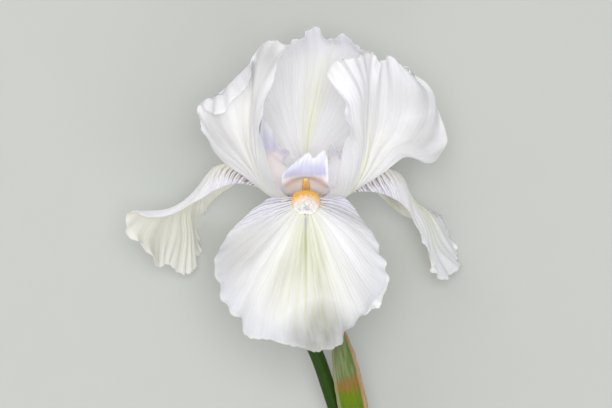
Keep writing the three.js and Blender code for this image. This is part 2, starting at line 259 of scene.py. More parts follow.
def even_steps(points: Sequence[Sequence[float]], places: ARRAY, samples: int = 600) -> ARRAY:
    """Points of a curve at given shares of its length.

    The curve is sampled finely, the steps between the samples are added up, and each place is found between
    two samples.

    Args:
        points: Guide points of the curve.
        places: Shares of the length, 0 to 1.
        samples: Number of samples.

    Returns:
        Points on the curve, shape (len(places), 3).
    """
    fine = spline(np.array(points, float), np.linspace(0, 1, samples))
    steps = np.concatenate([[0], np.cumsum(np.linalg.norm(np.diff(fine, axis=0), axis=1))])
    return np.stack([np.interp(places * steps[-1], steps, fine[:, k]) for k in range(3)], axis=-1)


def ring_axes(tangent: ARRAY, reference: ARRAY | Sequence[float]) -> tuple[ARRAY, ARRAY]:
    """Two axes square to each tangent of a path and to each other.

    The first is the cross product of a fixed direction and the tangent. The second is the cross product of
    the tangent and the first.

    Args:
        tangent: Tangents of any length, shape (n, 3).
        reference: A direction, or one for each tangent, that no tangent is parallel to.

    Returns:
        Both sets of unit axes, shape (n, 3) each.
    """
    along = tangent / np.linalg.norm(tangent, axis=1, keepdims=True)
    first = np.cross(np.array(reference, float), along)
    first /= np.linalg.norm(first, axis=1, keepdims=True)
    return first, np.cross(along, first)


def ring_angles(sides: int) -> ARRAY:
    """Angles of the points of a ring, in radians, the first at 0."""
    return 2 * math.pi * np.arange(sides) / sides


def rounded_ends(s: ARRAY, first: float, last: float) -> ARRAY:
    """Shares of a tube's radius that round off its two ends: the square root of the way in from each end.

    Args:
        s: Way along the tube, 0 to 1.
        first: Length of the rounding at the start, as a share of the way.
        last: Length of the rounding at the end.

    Returns:
        Shares from nearly 0 at the ends to 1.
    """
    return np.sqrt(np.clip(np.minimum(s / first, (1 - s) / last), 0.02, 1))


def ring_points(path: ARRAY, axes: tuple[ARRAY, ARRAY], radii: ARRAY) -> ARRAY:
    """Rings round the points of a path: cos(angle) times one axis plus sin(angle) times the other.

    Args:
        path: Centres, shape (rings, 3).
        axes: The two axes of each ring.
        radii: Radius at each ring and side, shape (rings, sides).

    Returns:
        Points, shape (rings, sides, 3).
    """
    first, second = (axis[:, None] for axis in axes)
    angle = ring_angles(radii.shape[1])[None, :, None]
    return path[:, None] + (first * np.cos(angle) + second * np.sin(angle)) * radii[..., None]


def tube(points: ARRAY, values: dict[str, ARRAY]) -> MeshData:
    """Closed tube through rings of points, with a fan of triangles on each end ring.

    Args:
        points: Rings, shape (rings, sides, 3).
        values: Values per ring, shape (rings,) each.

    Returns:
        The tube with those values and round, which runs from 0 to 1 about each ring.
    """
    rings, sides = points.shape[:2]
    start = np.stack([np.zeros(sides - 2, int), np.arange(2, sides), np.arange(1, sides - 1)], axis=-1)
    end = start[:, ::-1] + (rings - 1) * sides
    carried = {name: np.repeat(value, sides) for name, value in values.items()}
    carried["round"] = np.tile(np.arange(sides) / sides, rings)
    quads = grid_quads(rings, sides, around=True)
    return MeshData(points.reshape(-1, 3), quads, np.concatenate([start, end]), carried)


def swept(path: ARRAY, radii: ARRAY, reference: Sequence[float], values: dict[str, ARRAY]) -> MeshData:
    """Closed tube: a ring of points square to each point of a path.

    Args:
        path: Centres, shape (rings, 3).
        radii: Radius at each ring and side, shape (rings, sides).
        reference: Direction that no tangent of the path is parallel to.
        values: Values per ring, shape (rings,) each.

    Returns:
        The tube.
    """
    axes = ring_axes(np.gradient(path, axis=0), reference)
    return tube(ring_points(path, axes, radii), values)


# --------------------------------------------------------------------------------------------------------
# Finishes
# --------------------------------------------------------------------------------------------------------

Colour = tuple[float, float, float]
Socket = bpy.types.NodeSocket


def srgb(red: int, green: int, blue: int) -> Colour:
    """Turns a screen colour into a scene-linear one, by the sRGB curve.

    Args:
        red: Red, 0 to 255.
        green: Green, 0 to 255.
        blue: Blue, 0 to 255.

    Returns:
        The three linear shares.
    """
    shares = np.array([red, green, blue]) / 255.0
    linear = np.where(shares <= 0.04045, shares / 12.92, ((shares + 0.055) / 1.055) ** 2.4)
    return tuple(float(c) for c in linear)


class NodeBook:
    """Adds nodes to one material, so that a finish reads as a formula."""

    def __init__(self, name: str) -> None:
        """Starts a material with one Principled shader.

        Args:
            name: Name of the material.
        """
        self.material = bpy.data.materials.new(name)
        self.material.use_nodes = True
        self.tree = self.material.node_tree
        self.shader = next(n for n in self.tree.nodes if n.type == "BSDF_PRINCIPLED")

    def _feed(self, socket: Socket, value: Socket | float | Colour) -> None:
        """Gives an input its value, by a link or as a constant.

        Args:
            socket: The input.
            value: A node's output, a number or a colour.
        """
        if isinstance(value, bpy.types.NodeSocket):
            self.tree.links.new(value, socket)
        elif socket.type == "RGBA":
            socket.default_value = (*value, 1.0)
        else:
            socket.default_value = value

    def value(self, name: str) -> Socket:
        """Reads a per-vertex value of the piece.

        Args:
            name: Name of the attribute.

        Returns:
            The value.
        """
        node = self.tree.nodes.new("ShaderNodeAttribute")
        node.attribute_name = name
        return node.outputs["Fac"]

    def point(self) -> Socket:
        """Place in the part's frame, in metres."""
        return self.tree.nodes.new("ShaderNodeTexCoord").outputs["Object"]

    def pair(self, x: Socket, y: Socket, z: Socket | float = 0.0) -> Socket:
        """Joins values into a vector.

        Args:
            x: First value.
            y: Second value.
            z: Third value.

        Returns:
            The vector.
        """
        node = self.tree.nodes.new("ShaderNodeCombineXYZ")
        for socket, value in zip(node.inputs, (x, y, z)):
            self._feed(socket, value)
        return node.outputs[0]

    def math(self, operation: str, a: Socket | float, b: Socket | float = 0.0) -> Socket:
        """One arithmetic step.

        Args:
            operation: Name of the step.
            a: First value.
            b: Second value, where the step has one.

        Returns:
            The result.
        """
        node = self.tree.nodes.new("ShaderNodeMath")
        node.operation = operation
        self._feed(node.inputs[0], a)
        self._feed(node.inputs[1], b)
        return node.outputs[0]

    def size(self, a: Socket) -> Socket:
        """A value without its sign."""
        return self.math("ABSOLUTE", a)

    def off(self, a: Socket, b: float) -> Socket:
        """How far a value is from a number, without its sign."""
        return self.size(self.math("SUBTRACT", a, b))

    def span(self, x: Socket, low: float, high: float, start: float = 0.0, end: float = 1.0) -> Socket:
        """Maps a range of a value smoothly to another range, clipped at both ends.

        Args:
            x: The value.
            low: Where the range starts.
            high: Where it ends.
            start: Result at low.
            end: Result at high.

        Returns:
            The result.
        """
        node = self.tree.nodes.new("ShaderNodeMapRange")
        node.interpolation_type = "SMOOTHSTEP"
        for socket, value in zip(node.inputs, (x, low, high, start, end)):
            self._feed(socket, value)
        return node.outputs[0]

    def fall(self, x: Socket, low: float, high: float) -> Socket:
        """Falls smoothly from 1 at low to 0 at high."""
        return self.span(x, low, high, 1.0, 0.0)

    def noise(self, vector: Socket, scale: float, detail: float = 3.0) -> Socket:
        """Soft noise about 0.5.

        Args:
            vector: Where to read it.
            scale: Lumps per unit.
            detail: Number of finer layers.

        Returns:
            The noise, 0 to 1.
        """
        node = self.tree.nodes.new("ShaderNodeTexNoise")
        self._feed(node.inputs["Vector"], vector)
        node.inputs["Scale"].default_value = scale
        node.inputs["Detail"].default_value = detail
        return node.outputs["Fac"]

    def around(self, vector: Socket, scale: float, height: float) -> Socket:
        """Soft noise about 0, of a given height."""
        return self.product(self.math("SUBTRACT", self.noise(vector, scale), 0.5), height)

    def product(self, *shares: Socket | float) -> Socket:
        """Multiplies any number of shares.

        Args:
            shares: Values or numbers.

        Returns:
            Their product.
        """
        total = shares[0]
        for share in shares[1:]:
            total = self.math("MULTIPLY", total, share)
        return total

    def total(self, *parts: Socket | float) -> Socket:
        """Adds any number of values.

        Args:
            parts: Values or numbers.

        Returns:
            Their sum.
        """
        result = parts[0]
        for part in parts[1:]:
            result = self.math("ADD", result, part)
        return result

    def mix(self, share: Socket | float, a: Socket | Colour, b: Socket | Colour) -> Socket:
        """Blends two colours.

        Args:
            share: Share of the second colour.
            a: First colour.
            b: Second colour.

        Returns:
            The blend.
        """
        node = self.tree.nodes.new("ShaderNodeMix")
        node.data_type = "RGBA"
        colours = [s for s in node.inputs if s.type == "RGBA"]
        self._feed(node.inputs[0], share)
        self._feed(colours[0], a)
        self._feed(colours[1], b)
        return next(s for s in node.outputs if s.type == "RGBA")

    def darken(self, share: Socket | float, colour: Socket, tone: Colour) -> Socket:
        """Blends a colour towards its product with a tone.

        Args:
            share: Share of the product.
            colour: The colour.
            tone: What it is multiplied by.

        Returns:
            The darker colour.
        """
        mixed = self.mix(share, colour, tone)
        mixed.node.blend_type = "MULTIPLY"
        return mixed

    def lines(self, coordinate: Socket, count: float, width: float, wobble: Socket) -> Socket:
        """Thin lines where a coordinate times a count passes a whole number.

        Args:
            coordinate: What runs across the lines.
            count: Lines per unit.
            width: Share of the spacing that a line takes.
            wobble: Value about 0 that bends the lines, in spacings.

        Returns:
            1 on a line, falling smoothly to 0 beside it.
        """
        place = self.total(self.product(coordinate, count), wobble)
        return self.fall(self.math("PINGPONG", place, 0.5), 0.0, width)

    def bump(self, height: Socket, distance: float, strength: float) -> Socket:
        """Bends the shading normal by a relief.

        Args:
            height: Relief, 0 to about 1.
            distance: Metres that a relief of 1 stands for.
            strength: Share of the effect.

        Returns:
            The normal.
        """
        node = self.tree.nodes.new("ShaderNodeBump")
        node.inputs["Strength"].default_value = strength
        node.inputs["Distance"].default_value = distance
        self._feed(node.inputs["Height"], height)
        return node.outputs["Normal"]

    def dress(
        self, colour: Socket, rough: Socket | float, normal: Socket | None = None, **fixed: float | Colour
    ) -> bpy.types.Material:
        """Feeds the shader.

        Args:
            colour: Base colour.
            rough: Roughness.
            normal: Bumped normal, if any.
            fixed: Constant inputs by name, with _ for spaces.

        Returns:
            The finished material.
        """
        self._feed(self.shader.inputs["Base Color"], colour)
        self._feed(self.shader.inputs["Roughness"], rough)
        if normal is not None:
            self._feed(self.shader.inputs["Normal"], normal)
        for name, value in fixed.items():
            self.shader.inputs[name.replace("_", " ")].default_value = value
        return self.material


class Finish:
    """A finish that makes its material once."""

    name: str

    def material(self) -> bpy.types.Material:
        """The material, made at first use."""
        return bpy.data.materials.get(self.name) or self.build()

    def build(self) -> bpy.types.Material:
        """Makes the material."""
        raise NotImplementedError


@dataclass(frozen=True)
class ShadeCloud:
    """A soft patch of painted shade in a petal.

    It is centred on a vein, at a place along. Its width is in radians of the fan of veins and its length in
    shares of the petal's, and share is its strength.
    """

    vein: float
    along: float
    width: float
    length: float
    share: float


@dataclass(frozen=True)
class PetalFinish(Finish):
    """White petal tissue with veins, a tinted centre, a faint lavender margin band with painted shade and a
    painted highlight on its very edge, and painted shade in rays and clouds.
    """

    name: str
    # Tissue, its veins, and its margin band of lavender tint with painted shade.
    white: Colour = srgb(245, 243, 247)
    shade: Colour = srgb(238, 236, 239)
    vein: Colour = srgb(224, 223, 227)
    veins: float = 10.0
    margin: Colour = srgb(226, 226, 238)
    margin_tint_and_shade_share: float = 0.75
    # Tinted centre and midrib of the inner face.
    centre: Colour = srgb(246, 247, 216)
    streak: Colour = srgb(226, 230, 176)
    glow: float = 0.8
    centre_angle: float = 0.75
    centre_end: float = 1.05
    midrib: Colour = srgb(174, 180, 104)
    rib_share: float = 0.75
    rib_width: float = 0.028
    rib_end: float = 0.95
    # Outer face.
    under: Colour = srgb(246, 241, 222)
    under_centre: Colour = srgb(226, 222, 172)
    keel: float = 0.6
    # Painted shade: grey rays along the veins and soft clouds, and how much of it the outer face keeps.
    painted_shade_tone: Colour = srgb(186, 187, 180)
    painted_shade_ray_share: float = 0.18
    shade_clouds: tuple[ShadeCloud, ...] = ()
    shade_under: float = 1.0
    # Haft, only where haft_veins is above 0.
    haft_veins: float = 0.0
    haft_vein: Colour = srgb(98, 58, 52)
    haft_vein_far: Colour = srgb(146, 138, 192)
    haft_tint: Colour = srgb(238, 233, 246)
    haft_end: float = 0.46
    haft_turn: float = 0.43
    crest: Colour = srgb(248, 247, 218)
    crest_width: float = 0.5
    spot: Colour = srgb(190, 186, 226)

    def build(self) -> bpy.types.Material:
        """Tints follow the vein number, so that they fan out from the claw as the veins do.

        Returns:
            The material.
        """
        book = NodeBook(self.name)
        across = book.size(book.value("across"))
        along = book.value("along")
        vein = book.value("vein")
        inner = book.value("inner")
        margin = book.value("rim")
        place = book.point()
        bend = book.around(place, 110.0, 1.3)
        coarse = book.lines(vein, self.veins, 0.26, bend)
        fine = book.lines(vein, self.veins * 2.6, 0.34, bend)
        cloud = book.noise(place, 30.0, 4.0)

        tissue = book.mix(book.span(cloud, 0.35, 0.7), self.white, self.shade)
        tissue = book.mix(book.product(fine, 0.2), tissue, self.vein)
        tissue = book.mix(book.product(coarse, 0.25), tissue, self.vein)
        # The band inside the margin is lavender tint with painted shade, and the very edge gets a painted
        # white highlight.
        rim = book.product(book.span(margin, 0.66, 0.94), self.margin_tint_and_shade_share)
        tissue = book.mix(rim, tissue, self.margin)
        tissue = book.mix(book.span(margin, 0.975, 1.0), tissue, self.white)

        near_rib = book.fall(book.size(vein), 0.1, self.centre_angle)
        glow = book.product(near_rib, book.fall(along, 0.5, self.centre_end))
        inside = book.mix(book.product(glow, self.glow), tissue, self.centre)
        patchy = book.span(book.noise(place, 90.0, 2.0), 0.3, 0.65, 0.25, 1.0)
        inside = book.mix(book.product(glow, coarse, patchy, self.glow), inside, self.streak)
        on_rib = book.fall(across, 0.0, self.rib_width)
        rib = book.product(on_rib, book.fall(along, 0.3, self.rib_end), self.rib_share)
        inside = book.mix(rib, inside, self.midrib)
        if self.haft_veins:
            inside = self._haft(book, inside)

        outside = book.mix(0.5, tissue, self.under)
        keel = book.product(book.fall(across, 0.0, 0.5), book.fall(along, 0.35, 1.05))
        outside = book.mix(book.product(keel, self.keel), outside, self.centre)
        outside = book.mix(book.product(keel, coarse, patchy), outside, self.under_centre)
        outside = book.mix(rib, outside, self.midrib)
        # Painted shade: the colour is multiplied towards a grey tone in the rays and clouds.
        colour = book.darken(self._painted_shade(book), book.mix(inner, outside, inside), self.painted_shade_tone)

        grain = book.product(book.noise(place, 1400.0, 2.0), 0.4)
        relief = book.total(book.product(fine, -0.4), book.product(coarse, -0.6), grain)
        return book.dress(
            colour,
            book.span(cloud, 0.3, 0.7, 0.48, 0.6),
            book.bump(relief, 0.0001, 0.7),
            Subsurface_Weight=0.6,
            Subsurface_Radius=(1.0, 0.98, 0.95),
            Subsurface_Scale=0.002,
            Sheen_Weight=0.1,
            Sheen_Roughness=0.4,
        )

    def _painted_shade(self, book: NodeBook) -> Socket:
        """Share of painted shade: broad rays of noise drawn out along the veins, and the petal's own clouds
        of it.

        Args:
            book: The material's nodes.

        Returns:
            The larger of the two at each place, and shade_under of it on the outer face.
        """
        vein = book.value("vein")
        along = book.value("along")
        fanned = book.pair(book.product(vein, 2.4), book.product(along, 1.6), book.value("draw"))
        rays = book.span(book.noise(fanned, 1.0), 0.4, 0.68)
        shade = book.product(rays, book.span(along, 0.3, 0.5), self.painted_shade_ray_share)
        frayed = book.span(book.noise(fanned, 2.2, 4.0), 0.3, 0.62, 0.6, 1.0)
        for cloud in self.shade_clouds:
            by_vein = book.fall(book.off(vein, cloud.vein), 0.0, cloud.width)
            by_place = book.fall(book.off(along, cloud.along), 0.0, cloud.length)
            near = book.product(by_vein, by_place, frayed, cloud.share)
            shade = book.math("MAXIMUM", shade, near)
        return book.product(shade, book.span(book.value("inner"), 0.0, 1.0, self.shade_under, 1.0))

    def _haft(self, book: NodeBook, inside: Socket) -> Socket:
        """Haft: cream along its middle, with dark forking veins beside it.

        Args:
            book: The material's nodes.
            inside: Colour of the inner face so far.

        Returns:
            The colour with veins, brown by the claw and violet where they run out into the blade, and a
            violet spot ahead of the beard.
        """
        across = book.size(book.value("across"))
        along = book.value("along")
        vein = book.value("vein")
        place = book.point()
        end, turn = self.haft_end, self.haft_turn
        band = book.product(book.span(along, 0.08, 0.16), book.fall(along, end - 0.1, end + 0.12))
        middle = book.product(band, book.fall(across, 0.24 * self.crest_width, self.crest_width))
        inside = book.mix(book.product(middle, 0.8), inside, self.crest)
        beside = book.product(band, book.span(book.size(vein), 0.75, 1.1), book.span(across, 0.1, 0.4))
        inside = book.mix(book.product(beside, 0.35), inside, self.haft_tint)
        sway = book.total(book.around(place, 130.0, 1.8), book.around(place, 600.0, 0.3))
        trunk = book.lines(vein, self.veins * 0.95, 0.31, sway)
        forks = book.lines(vein, self.veins * 1.9, 0.28, sway)
        forks = book.product(forks, book.span(across, 0.45, 0.75, 0.0, 0.9))
        lines = book.math("MAXIMUM", trunk, forks)
        patchy = book.span(book.noise(place, 260.0), 0.3, 0.55, 0.5, 1.0)
        far = book.total(along, book.product(across, 0.3))
        ink = book.mix(book.span(far, turn - 0.08, turn + 0.12), self.haft_vein, self.haft_vein_far)
        fade = book.span(far, turn - 0.1, turn + 0.2, self.haft_veins, 0.68 * self.haft_veins)
        inside = book.mix(book.product(beside, lines, patchy, fade), inside, ink)
        ahead = book.product(book.span(along, 0.46, 0.48), book.fall(along, 0.49, 0.55))
        return book.mix(book.product(ahead, book.fall(across, 0.008, 0.026), 0.7), inside, self.spot)


@dataclass(frozen=True)
class BeardFinish(Finish):
    """Fuzzy hairs: orange in the throat and white towards the blade."""

    name: str = "beard_hair"
    deep: Colour = srgb(255, 172, 20)
    orange: Colour = srgb(255, 200, 28)
    pale: Colour = srgb(255, 253, 250)
    turn: float = 0.765

    def build(self) -> bpy.types.Material:
        """Orange on the back and the sides, white in the middle of the front, and paler towards the tips.

        Returns:
            The material.
        """
        book = NodeBook(self.name)
        side = book.value("across")
        front = book.math("SUBTRACT", book.value("along"), book.product(side, side, 0.12))
        front = book.total(front, book.around(book.point(), 900.0, 0.2))
        change = book.span(front, self.turn - 0.14, self.turn + 0.1)
        tips = book.mix(change, self.orange, self.pale)
        roots = book.mix(change, self.deep, self.pale)
        colour = book.mix(book.span(book.value("tip"), 0.0, 0.7), roots, tips)
        return book.dress(
            colour,
            0.75,
            Subsurface_Weight=0.15,
            Subsurface_Radius=(1.0, 0.95, 0.85),
            Subsurface_Scale=0.0005,
            Sheen_Weight=0.4,
            Specular_IOR_Level=0.2,
        )


@dataclass(frozen=True)
class ArmFinish(Finish):
    """Style arm: lavender crest above a pinkish beige arm."""

    name: str
    crest: Colour = srgb(200, 202, 228)
    crest_tip: Colour = srgb(243, 244, 253)
    arm: Colour = srgb(255, 246, 243)
    vein: Colour = srgb(178, 178, 226)
    turn: float = 0.6
    blur: float = 0.05
    dip: float = 0.12

    def build(self) -> bpy.types.Material:
        """The arm's hue turns into the crest's at the lip, and veins run up into the crest.

        Returns:
            The material.
        """
        book = NodeBook(self.name)
        along = book.value("along")
        side = book.value("across")
        place = book.point()
        veins = book.lines(side, 5.0, 0.3, book.around(place, 130.0, 1.6))
        lip = book.math("SUBTRACT", along, book.product(side, side, self.dip))
        crest = book.mix(book.span(along, self.turn + 0.12, 1.0), self.crest, self.crest_tip)
        patchy = book.span(book.noise(place, 200.0), 0.35, 0.65, 0.0, 0.3)
        crest = book.mix(book.product(veins, patchy), crest, self.vein)
        colour = book.mix(book.span(lip, self.turn - self.blur, self.turn + self.blur), self.arm, crest)
        colour = book.mix(book.span(book.size(side), 0.84, 0.98), colour, self.crest_tip)
        relief = book.total(book.product(veins, 0.6), book.noise(place, 900.0, 2.0))
        return book.dress(
            colour,
            0.5,
            book.bump(relief, 0.0001, 0.5),
            Subsurface_Weight=0.3,
            Subsurface_Radius=(1.0, 0.95, 0.92),
            Subsurface_Scale=0.001,
            Sheen_Weight=0.25,
        )


@dataclass(frozen=True)
class AntherFinish(Finish):
    """Mealy orange-tan anther on a pale filament."""

    name: str = "anther"
    filament: Colour = srgb(232, 222, 206)
    pollen: Colour = srgb(252, 216, 146)
    groove: Colour = srgb(238, 180, 100)

    def build(self) -> bpy.types.Material:
        """Pollen grains are a fine noise in hue and relief.

        Returns:
            The material.
        """
        book = NodeBook(self.name)
        grain = book.noise(book.point(), 3200.0, 2.0)
        mealy = book.mix(book.span(grain, 0.35, 0.65), self.groove, self.pollen)
        colour = book.mix(book.span(book.value("along"), 0.4, 0.46), self.filament, mealy)
        relief = book.bump(grain, 0.00015, 0.8)
        return book.dress(colour, 0.85, relief, Subsurface_Weight=0.2, Subsurface_Scale=0.001)


@dataclass(frozen=True)
class GreenFinish(Finish):
    """Waxy plant skin with fine lengthwise lines."""

    name: str
    low: Colour
    high: Colour
    line: Colour
    lines: float
    rough: float = 0.42
    cut: Colour = srgb(202, 212, 158)

    def build(self) -> bpy.types.Material:
        """Hue runs from low to high along the piece, and the cut face shows pale pith with darker strands.

        Returns:
            The material.
        """
        book = NodeBook(self.name)
        place = book.point()
        strands = book.lines(book.value("round"), self.lines, 0.22, book.around(place, 60.0, 0.6))
        mottle = book.noise(place, 240.0, 5.0)
        colour = book.mix(book.span(book.value("along"), 0.0, 1.0), self.low, self.high)
        colour = book.mix(book.product(strands, 0.4), colour, self.line)
        colour = book.mix(book.product(book.span(mottle, 0.5, 0.75), 0.25), colour, self.high)
        pith = book.mix(book.span(book.noise(place, 1800.0, 1.0), 0.56, 0.62), self.cut, self.line)
        colour = book.mix(book.value("cut_face"), colour, pith)
        relief = book.total(book.product(strands, -0.5), book.product(mottle, 0.4))
        return book.dress(
            colour,
            book.span(mottle, 0.3, 0.7, self.rough - 0.06, self.rough + 0.08),
            book.bump(relief, 0.00015, 0.6),
            Subsurface_Weight=0.12,
            Subsurface_Scale=0.001,
            Coat_Weight=0.03,
            Coat_Roughness=0.5,
            Specular_IOR_Level=0.12,
        )


@dataclass(frozen=True)
class SpatheFinish(Finish):
    """Papery bract: green at its foot, yellow below a brown band, grey-green above it, with a tan edge."""

    name: str = "spathe_paper"
    foot: Colour = srgb(88, 124, 26)
    yellow: Colour = srgb(106, 132, 12)
    upper: Colour = srgb(132, 146, 104)
    upper_dark: Colour = srgb(98, 122, 66)
    band: Colour = srgb(156, 104, 60)
    edge: Colour = srgb(190, 156, 120)
    left: Colour = srgb(158, 162, 120)
    strand: Colour = srgb(92, 92, 46)
    band_place: float = 0.662

    def build(self) -> bpy.types.Material:
        """Zones follow the way along the bract, and their borders are frayed by noise drawn out along it.

        Returns:
            The material.
        """
        book = NodeBook(self.name)
        along = book.value("along")
        across = book.value("across")
        grain = book.pair(book.product(across, 9.0), book.product(along, 7.0))
        fray = book.around(grain, 1.3, 0.16)
        up = book.total(along, fray)
        place = self.band_place
        colour = book.mix(book.span(up, place - 0.19, place - 0.07), self.foot, self.yellow)
        patches = book.span(book.noise(grain, 0.8, 4.0), 0.38, 0.62)
        upper = book.mix(patches, self.upper, self.upper_dark)
        colour = book.mix(book.span(up, place - 0.01, place + 0.05), colour, upper)
        above = book.span(up, place - 0.05, place - 0.02)
        below = book.fall(up, place + 0.02, place + 0.07)
        broken = book.span(book.noise(grain, 1.9), 0.3, 0.6)
        colour = book.mix(book.product(above, below, broken), colour, self.band)
        fibres = book.lines(across, 13.0, 0.24, book.around(grain, 0.7, 1.0))
        colour = book.mix(book.product(fibres, 0.35), colour, self.strand)
        rim = book.span(book.total(across, book.product(fray, 1.2)), 0.5, 0.68)
        colour = book.mix(rim, colour, self.edge)
        colour = book.mix(book.span(across, -0.55, -0.8), colour, self.left)
        stain = book.span(book.noise(grain, 2.6, 4.0), 0.56, 0.7, 0.0, 0.6)
        colour = book.mix(stain, colour, self.band)
        return book.dress(
            colour,
            0.55,
            book.bump(fibres, 0.0002, 0.7),
            Subsurface_Weight=0.35,
            Subsurface_Scale=0.0012,
            Specular_IOR_Level=0.15,
        )


@dataclass(frozen=True)
class FloorFinish(Finish):
    """Plain pale studio floor."""

    name: str = "studio_floor"
    colour: Colour = srgb(186, 189, 184)
    pale: Colour = srgb(198, 201, 196)

    def build(self) -> bpy.types.Material:
        """A very faint noise keeps the floor from looking cut out.

        Returns:
            The material.
        """
        book = NodeBook(self.name)
        grain = book.noise(book.point(), 40.0)
        return book.dress(book.mix(book.span(grain, 0.3, 0.7, 0.0, 0.05), self.colour, self.pale), 0.8)


# --------------------------------------------------------------------------------------------------------
# Pieces
# --------------------------------------------------------------------------------------------------------


class Piece:
    """A piece of the flower, which takes the place of one CAD node."""

    name: str
    node: str
    slot: str
    finish: Finish

    def mesh(self) -> MeshData:
        """Geometry of the piece, in metres."""
        raise NotImplementedError

    def build(self) -> bpy.types.Object:
        """Puts the piece into the scene under the root body, and hides the CAD node that it stands in for.

        Each vertex carries the mesh's values, and the UV map holds the ways across and along.

        Returns:
            The object.
        """
        data = self.mesh()
        mesh = bpy.data.meshes.new(self.name)
        mesh.from_pydata(data.points.tolist(), [], data.quads.tolist() + data.triangles.tolist())
        for key, value in sorted(data.values.items()):
            layer = mesh.attributes.new(key, "FLOAT", "POINT")
            layer.data.foreach_set("value", value.astype(np.float32))
        corners = np.empty(len(mesh.loops), dtype=np.int32)
        mesh.loops.foreach_get("vertex_index", corners)
        sideways = data.values.get("across", data.values.get("round"))
        uv = np.stack([sideways[corners], data.values["along"][corners]], axis=-1).astype(np.float32)
        mesh.uv_layers.new(name="Blade").data.foreach_set("uv", uv.ravel())
        mesh.polygons.foreach_set("use_smooth", np.ones(len(mesh.polygons), dtype=bool))
        mesh.update()
        piece = bpy.data.objects.new(self.name, mesh)
        bpy.context.scene.collection.objects.link(piece)
        mesh.materials.append(self.finish.material())
        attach(piece, "root")
        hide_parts(self.node)
        LOG.info("%s: %d vertices, replaces %s", self.name, len(mesh.vertices), self.node)
        return piece


# --------------------------------------------------------------------------------------------------------
# Petals
# --------------------------------------------------------------------------------------------------------

# A net's rows run across a petal, claw first. Each point is [across, up, outward] from the throat.
FALL_CLAW = [[-4.9, 0.7, 3.4], [-2.8, 0.6, 5.3], [0, 0.6, 6], [2.8, 0.6, 5.3], [4.9, 0.7, 3.4]]
STANDARD_CLAW = [[-3.3, 0.6, 2.4], [-1.8, 0.6, 3.6], [0, 0.6, 4], [1.8, 0.6, 3.6], [3.3, 0.6, 2.4]]
STANDARD_NECK = [[-4.4, 4.6, 6.5], [-2.4, 4.3, 8], [0, 4.2, 8.6], [2.4, 4.3, 8], [4.4, 4.6, 6.5]]

FALL_FRONT_NET = [
    FALL_CLAW,
    [[-8, 9.2, 14.6], [-4, 8, 15.6], [0, 7.6, 16.5], [4, 8, 15.6], [8, 9.2, 14.6]],
    [[-14.3, 12.3, 26], [-7, 13.4, 28], [0, 13.4, 29], [7, 13.4, 28], [15, 12.3, 26]],
    [[-28, 3, 34], [-13, 8, 40], [0, 9, 42], [13, 8, 40], [23, 3.5, 33]],
    [[-32.5, -7, 39.5], [-17, -5, 48], [0, -4.5, 52], [16, -5, 48], [28.5, -8.5, 37]],
    [[-31.5, -19.5, 42], [-18, -21, 52], [0, -21, 57], [17, -21, 52], [30.5, -17.5, 39.5]],
    [[-26.5, -28, 43], [-22, -33, 48], [-13, -32, 52], [-4.5, -34.5, 55], [6, -36.5, 56], [12, -33, 52.5],
     [18.5, -25.5, 46.5], [27.5, -23, 43.5]],
]
FALL_LEFT_NET = [
    FALL_CLAW,
    [[-7, 6, 14], [-3.5, 7.5, 15.5], [0, 8, 16], [3.5, 7.5, 15.5], [7, 6.5, 14]],
    [[-9, 5, 27], [-5, 9.5, 29], [0, 12, 29.5], [4.5, 11, 28], [8.5, 7.5, 26]],
    [[-14, -3, 41], [-8, 5, 42], [0.5, 9, 40.5], [7, 7.5, 37], [11, 4, 34]],
    [[-16, -13, 53], [-10, -7, 52], [0, -1, 48], [10.5, 0, 45], [20, -2.5, 43.5]],
    [[-17, -17, 56.5], [-9.5, -12, 55], [1, -6.5, 51.5], [14.5, -4, 49], [30, -4.5, 51.5]],
    [[-18.8, -22, 60], [-9.5, -16.5, 57], [2, -12, 54], [17, -7.5, 54], [36, -1, 55.5]],
    [[-17.5, -28, 59.5], [-10.5, -26.5, 58], [0, -23, 55], [17, -17.5, 56.5], [35, -8.5, 58.5]],
    [[-16, -33.5, 57], [-12, -35, 55.5], [-8, -34, 57], [-2, -38.5, 54], [4, -37.5, 54], [10.5, -31.5, 56.5],
     [16.5, -30.5, 55.5], [23, -26, 55.5], [29, -18.5, 56]],
]
FALL_RIGHT_NET = [
    FALL_CLAW,
    [[-7, 5, 15], [-3.5, 7.5, 15.5], [0, 8, 16], [3.5, 7.5, 15.5], [7, 6, 14]],
    [[-8, 2.6, 29], [-4, 9, 29.5], [0, 11.2, 29.5], [5, 9.5, 28], [4, 2, 29]],
    [[-10, -5, 39.5], [-5, 3.5, 41], [0, 6, 41.5], [4, -2.5, 44.5], [4.5, -13, 46]],
    [[-12, -13, 42.5], [-6.5, -7.5, 44], [-2, -5.5, 47], [2, -9.5, 51.5], [3, -17, 54]],
    [[-14.5, -19, 44.5], [-8, -15, 49], [0, -15, 55.5], [6.5, -16.5, 62], [11.5, -21, 70]],
    [[-16.5, -25, 46.5], [-11, -25.5, 51], [-4.5, -26, 58.5], [3, -27, 66], [11, -27, 71.5]],
    [[-15, -31.5, 50], [-9, -38.5, 58], [-6.5, -38.5, 62], [-5.5, -35.5, 69], [-0.5, -36, 68.5],
     [3, -35, 71], [5.5, -32.5, 73]],
]
